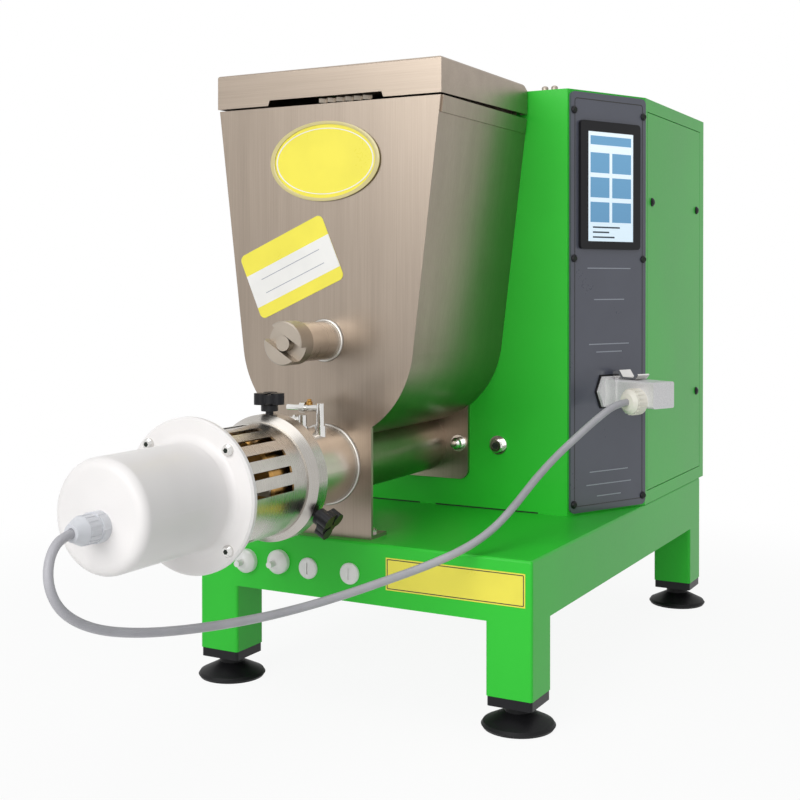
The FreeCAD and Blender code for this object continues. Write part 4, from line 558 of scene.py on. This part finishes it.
class OBJECT_OT_labels(bpy.types.Operator):
    """Lay the blank oval badge, the name tag and the front label"""

    bl_idname = "extruder.labels"
    bl_label = "Labels"

    def execute(self, context):
        middle = at(AXIS_X, PLATE_Y - 1.0, BADGE_Z)
        for name, grow, line, profile, material in (
            ("badge_rim", 0.6, 2.6, ((0.0, 0.9), (0.42, 1.3), (1.0, 0.9)), "gold"),
            ("badge_line", -5.0, 0.7, ((0.0, 0.25), (1.0, 0.25)), "paper"),
        ):
            radius = BADGE_HIGH + grow
            section = [(radius, 0.0)]
            section += [(radius - line * share, level) for share, level in profile]
            section.append((radius - line, 0.0))
            mesh = bmesh.new()
            add_lathe(mesh, section, middle, (0, -1, 0), 96)
            bmesh.ops.scale(mesh, vec=((BADGE_WIDE + grow) / radius, 1, 1), space=Matrix.Translation(-middle),
                            verts=mesh.verts)
            publish(mesh, name, MATERIALS[material], smooth=60)

        lean = math.radians(TAG_LEAN)
        tag = axes(Vector((math.cos(lean), 0, math.sin(lean))), Vector((-math.sin(lean), 0, math.cos(lean))),
                   at(-66.9, PLATE_Y, 349.6))
        mesh = bmesh.new()
        add_slab(mesh, tag, rounded_outline(TAG_WIDE, TAG_HIGH, TAG_CORNER), 0.0, 0.35)
        publish(mesh, "name_tag", MATERIALS["yellow"])
        mesh = bmesh.new()
        add_slab(mesh, tag, box_outline(-43.98, -18.0, 43.98, 10.5), 0.3, 0.42)
        publish(mesh, "name_tag_field", MATERIALS["paper"])
        mesh = bmesh.new()
        for height in (-9.5, 2.5):
            add_slab(mesh, tag, box_outline(-31, height - 0.3, 31, height + 0.3), 0.4, 0.5)
        publish(mesh, "name_tag_rules", MATERIALS["pale"])

        mesh = bmesh.new()
        add_slab(mesh, FRONT, box_outline(*FRONT_LABEL), 0.0, 0.3)
        publish(mesh, "front_label", MATERIALS["yellow"])
        mesh = bmesh.new()
        add_frame_line(mesh, FRONT, width=116.3, height=23.5, corner=0.8, line=0.7, low=0.25, high=0.38,
                       x=87.95, y=108.35)
        publish(mesh, "front_label_border", MATERIALS["ink"])
        return {"FINISHED"}


class OBJECT_OT_panel(bpy.types.Operator):
    """Print the panel's border and rules, and fill the display"""

    bl_idname = "extruder.panel"
    bl_label = "Panel print and display"

    def execute(self, context):
        mesh = bmesh.new()
        add_frame_line(mesh, PANEL, width=86.0, height=362.0, corner=3.0, line=0.9,
                       low=PRINT_LOW, high=PRINT_HIGH, x=PANEL_MIDDLE, y=319.5)
        publish(mesh, "panel_border", MATERIALS["ink"])
        mesh = bmesh.new()
        for z, half in PANEL_RULES:
            rule = box_outline(PANEL_MIDDLE - half, z - 0.45, PANEL_MIDDLE + half, z + 0.45)
            add_slab(mesh, PANEL, rule, PRINT_LOW, PRINT_HIGH)
        publish(mesh, "panel_rules", MATERIALS["pale"])

        mesh = bmesh.new()
        add_slab(mesh, PANEL, box_outline(23.0, 460.0, 74.0, 468.0), GLASS_LOW, GLASS_HIGH)
        for row in range(3):
            low = 443.0 - row * 22
            add_slab(mesh, PANEL, box_outline(23.0, low - 8, 46.5, low + 10), GLASS_LOW, GLASS_HIGH)
            add_slab(mesh, PANEL, box_outline(50.0, low - 8, 74.0, low + 10), GLASS_LOW, GLASS_HIGH)
        publish(mesh, "display_tiles", MATERIALS["tile"])
        mesh = bmesh.new()
        for row, share in enumerate((0.75, 0.45, 0.6)):
            base = 384.5 - row * 4.4 + 2
            add_slab(mesh, PANEL, box_outline(26.0, base - 0.7, 26.0 + 45 * share, base + 0.7),
                     GLASS_LOW, GLASS_HIGH)
        publish(mesh, "display_bars", MATERIALS["mark"])
        return {"FINISHED"}


class OBJECT_OT_welds(bpy.types.Operator):
    """Run weld beads round the barrel and the boss, and lay a dark strip of painted shadow in the gap at the
    cabinet's foot
    """

    bl_idname = "extruder.welds"
    bl_label = "Welds"

    def execute(self, context):
        for name, radius, height in (("barrel_weld", 31.3, BARREL_Z), ("boss_weld", 15.5, MIXER_Z)):
            mesh = bmesh.new()
            bead = circle_section(radius + 0.7, 0.6, 1.5, 12)
            add_lathe(mesh, bead, at(AXIS_X, PLATE_Y, height), (0, -1, 0), 96)
            publish(mesh, name, MATERIALS["weld"], smooth=80)
        # A near-black strip of painted shadow where the gap under the cabinet's front falls in shade
        mesh = bmesh.new()
        for x0, x1 in ((-87.6, -36.4), (-20.0, 82.5)):
            add_slab(mesh, axes(Vector((1, 0, 0)), Vector((0, 0, 1)), at(0, CABINET_FRONT, 0)),
                     box_outline(x0, 130.9, x1, 132.1), -0.2, 0.12)
        publish(mesh, "foot_gap_painted_shadow", MATERIALS["painted_shade"])
        return {"FINISHED"}


class OBJECT_OT_lid_trim(bpy.types.Operator):
    """Put the folded comb behind the lid's finger notch"""

    bl_idname = "extruder.lid_trim"
    bl_label = "Lid trim"

    def execute(self, context):
        mesh = bmesh.new()
        folds = 12
        left = AXIS_X - 6
        pitch = 50 / folds
        wave = [(left + pitch * index, 11.2 if index % 2 == 0 else 15.2) for index in range(folds + 1)]
        add_slab(mesh, LEVEL, wave + [(x, y + 1.0) for x, y in reversed(wave)], 484.2, 487.6)
        publish(mesh, "grille_comb", MATERIALS["cap"])
        return {"FINISHED"}


class OBJECT_OT_fixings(bpy.types.Operator):
    """Put dark hexagons of painted shade on the screw heads where their sockets lie, and add the cabinet's
    top studs
    """

    bl_idname = "extruder.fixings"
    bl_label = "Fixings"

    def execute(self, context):
        # Each socket is a thin dark hexagon standing on the screw head: painted shade for its recess
        mesh = bmesh.new()
        hexagon = [(SOCKET_RADIUS * math.cos(math.tau * k / 6), SOCKET_RADIUS * math.sin(math.tau * k / 6))
                   for k in range(6)]
        for side in (-1, 1):
            for y, z in SIDE_SCREWS:
                matrix = axes(Vector((0, side, 0)), Vector((0, 0, 1)),
                              at(side * (HALF_WIDTH + SCREW_HEAD), y, z))
                add_slab(mesh, matrix, hexagon, SOCKET_LOW, SOCKET_HIGH)
        for across, z in PANEL_SCREWS:
            matrix = axes(Vector((ALONG.x, ALONG.y, 0)), Vector((0, 0, 1)),
                          on_panel(across, z, PANEL_FACE + SCREW_HEAD))
            add_slab(mesh, matrix, hexagon, SOCKET_LOW, SOCKET_HIGH)
        publish(mesh, "dark_socket_painted_shade", MATERIALS["painted_shade"])
        mesh = bmesh.new()
        for index in range(4):
            angle = math.radians(45 + 90 * index)
            origin = at(AXIS_X + DISC_SCREW_CIRCLE * math.cos(angle), DISC_FRONT - DISC_SCREW_HEAD,
                        BARREL_Z + DISC_SCREW_CIRCLE * math.sin(angle))
            matrix = axes(Vector((1, 0, 0)), Vector((0, 0, 1)), origin)
            add_slab(mesh, matrix, hexagon, SOCKET_LOW, SOCKET_HIGH)
        large = [(x * 1.7, y * 1.7) for x, y in hexagon]
        for side in (-1, 1):
            origin = at(AXIS_X + side * BOLT_SPREAD, CABINET_FRONT - BOLT_HEAD, BARREL_Z + 1)
            matrix = axes(Vector((1, 0, 0)), Vector((0, 0, 1)), origin)
            add_slab(mesh, matrix, large, SOCKET_LOW, SOCKET_HIGH)
        publish(mesh, "bright_socket_painted_shade", MATERIALS["painted_shade"])
        mesh = bmesh.new()
        for x in (86.5, 95.5):
            section = [(0.0, 0.0), (3.0, 0.0), (3.0, 2.6), (2.4, 3.6), (1.1, 4.2), (0.0, 4.4)]
            add_lathe(mesh, section, at(x, CABINET_FRONT + 6, CABINET_TOP), (0, 0, 1), 32)
        publish(mesh, "top_studs", MATERIALS["cap"])
        return {"FINISHED"}


class OBJECT_OT_ribs(bpy.types.Operator):
    """Add the gripping ribs of both cord glands and the brass vent on an elbow"""

    bl_idname = "extruder.ribs"
    bl_label = "Ribs"

    def execute(self, context):
        mesh = bmesh.new()
        origin = at(AXIS_X + 2, -259, BARREL_Z - 5)
        for index in range(16):
            angle = math.tau * index / 16
            radial = Vector((math.cos(angle), 0, math.sin(angle)))
            across = Vector((-math.sin(angle), 0, math.cos(angle)))
            matrix = Matrix((across, Vector((0, -1, 0)), radial)).transposed().to_4x4()
            matrix = Matrix.Translation(origin + radial * 0.0092) @ matrix
            add_slab(mesh, matrix, box_outline(-0.7, 8.5, 0.7, 17.0), -0.4, 0.35)
        publish(mesh, "motor_gland_ribs", MATERIALS["gland"])
        mesh = bmesh.new()
        axis = Vector((-ALONG.x, -ALONG.y, 0))
        outward = Vector((OUTWARD.x, OUTWARD.y, 0))
        origin = on_panel(PLUG_ACROSS, PLUG_Z, PLUG_OUT)
        for index in range(18):
            angle = math.tau * index / 18
            radial = outward * math.cos(angle) + Vector((0, 0, 1)) * math.sin(angle)
            across = axis.cross(radial)
            matrix = Matrix((across, axis, radial)).transposed().to_4x4()
            matrix = Matrix.Translation(origin + radial * 0.0111) @ matrix
            add_slab(mesh, matrix, box_outline(-0.8, 1.5, 0.8, 9.5), -0.5, 0.55)
        publish(mesh, "plug_gland_ribs", MATERIALS["ivory"])
        mesh = bmesh.new()
        section = [(0.0, 0.0), (2.6, 0.0), (2.6, 2.2), (1.7, 3.0), (1.7, 4.4), (0.0, 4.6)]
        add_lathe(mesh, section, at(AXIS_X + 2.5, -17.0, BARREL_Z + 51.0), (0, 0, 1), 24)
        publish(mesh, "elbow_vent", MATERIALS["bronze"])
        return {"FINISHED"}


class OBJECT_OT_studio(bpy.types.Operator):
    """Set the floor, the lights, the background and the camera"""

    bl_idname = "extruder.studio"
    bl_label = "Studio"

    def execute(self, context):
        scene = context.scene
        scene.view_settings.view_transform = "Standard"
        size = scene.extruder_sizes.floor_size
        mesh = bmesh.new()
        bmesh.ops.create_grid(mesh, x_segments=1, y_segments=1, size=size / 2)
        data = bpy.data.meshes.new("floor")
        mesh.to_mesh(data)
        mesh.free()
        floor = bpy.data.objects.new("floor", data)
        scene.collection.objects.link(floor)
        floor.location = (0, 0, -0.0002)
        surface = bpy.data.materials.new("studio floor")
        surface.use_nodes = True
        tree = surface.node_tree
        tree.nodes.clear()
        place = add_node(tree, "ShaderNodeTexCoord")
        apart = add_node(tree, "ShaderNodeSeparateXYZ", None, {0: Flow(tree, place.outputs["Object"])})
        x, y = Flow(tree, apart.outputs["X"]), Flow(tree, apart.outputs["Y"])
        near = (x * x + y * y).between(0.1, 0.8, 0.92, 1.0)
        matt = add_node(tree, "ShaderNodeBsdfDiffuse", None, {"Color": (0.85, 0.85, 0.85)})
        glow = add_node(tree, "ShaderNodeEmission", None, {"Color": (1.0, 1.0, 1.0), "Strength": 1.0})
        mixed = mix_seen(tree, matt, glow, near)
        add_node(tree, "ShaderNodeOutputMaterial", None, {"Surface": mixed})
        data.materials.append(surface)

        world = bpy.data.worlds.new("studio")
        scene.world = world
        world.use_nodes = True
        tree = world.node_tree
        tree.nodes.clear()
        soft = add_node(tree, "ShaderNodeBackground", None, {"Color": (0.93, 0.96, 1.0), "Strength": 0.28})
        clear = add_node(tree, "ShaderNodeBackground", None, {"Color": (1.0, 1.0, 1.0), "Strength": 1.0})
        add_node(tree, "ShaderNodeOutputWorld", None, {"Surface": mix_seen(tree, soft, clear)})

        for name, place, aim, width, height, power in (
            ("key", (-0.3, -2.1, 1.25), (0.0, 0.0, 0.3), 1.5, 1.3, 24.0),
            ("fill", (0.75, -2.0, 0.7), (0.05, 0.1, 0.25), 1.2, 1.2, 9.0),
            ("top", (0.1, -0.1, 2.1), (0.0, 0.0, 0.2), 1.8, 1.8, 12.0),
        ):
            lamp = bpy.data.lights.new(name, "AREA")
            lamp.shape = "RECTANGLE"
            lamp.size = width
            lamp.size_y = height
            lamp.energy = power
            item = bpy.data.objects.new(name, lamp)
            scene.collection.objects.link(item)
            item.location = place
            item.rotation_euler = (Vector(aim) - Vector(place)).to_track_quat("-Z", "Y").to_euler()
        camera = bpy.data.cameras.new("camera")
        camera.lens = CAMERA_LENS
        camera.sensor_width = 36.0
        camera.shift_y = CAMERA_SHIFT
        item = bpy.data.objects.new("camera", camera)
        scene.collection.objects.link(item)
        item.location = at(*CAMERA_PLACE)
        item.rotation_euler = (math.radians(90 - CAMERA_DOWN), 0, math.radians(CAMERA_YAW))
        scene.camera = item
        return {"FINISHED"}


OPERATORS = (
    OBJECT_OT_surfaces,
    OBJECT_OT_cord,
    OBJECT_OT_labels,
    OBJECT_OT_panel,
    OBJECT_OT_welds,
    OBJECT_OT_lid_trim,
    OBJECT_OT_fixings,
    OBJECT_OT_ribs,
    OBJECT_OT_studio,
)


class VIEW3D_PT_extruder(bpy.types.Panel):
    """Lists the extruder's steps"""

    bl_label = "Pasta extruder"
    bl_idname = "VIEW3D_PT_extruder"
    bl_space_type = "VIEW_3D"
    bl_region_type = "UI"
    bl_category = "Extruder"

    def draw(self, context):
        for name in ("body", "steel", "panel", "label"):
            self.layout.prop(context.scene.extruder_colours, name)
        for name in ("cord_radius", "floor_size"):
            self.layout.prop(context.scene.extruder_sizes, name)
        for operator in OPERATORS:
            self.layout.operator(operator.bl_idname)


CLASSES = (ExtruderColours, ExtruderSizes, *OPERATORS, VIEW3D_PT_extruder)


def register():
    for item in CLASSES:
        bpy.utils.register_class(item)
    bpy.types.Scene.extruder_colours = bpy.props.PointerProperty(type=ExtruderColours)
    bpy.types.Scene.extruder_sizes = bpy.props.PointerProperty(type=ExtruderSizes)


def unregister():
    del bpy.types.Scene.extruder_sizes
    del bpy.types.Scene.extruder_colours
    for item in reversed(CLASSES):
        bpy.utils.unregister_class(item)


def main():
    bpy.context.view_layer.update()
    register()
    for operator in OPERATORS:
        group, name = operator.bl_idname.split(".")
        getattr(getattr(bpy.ops, group), name)()


if __name__ == "__main__":
    main()
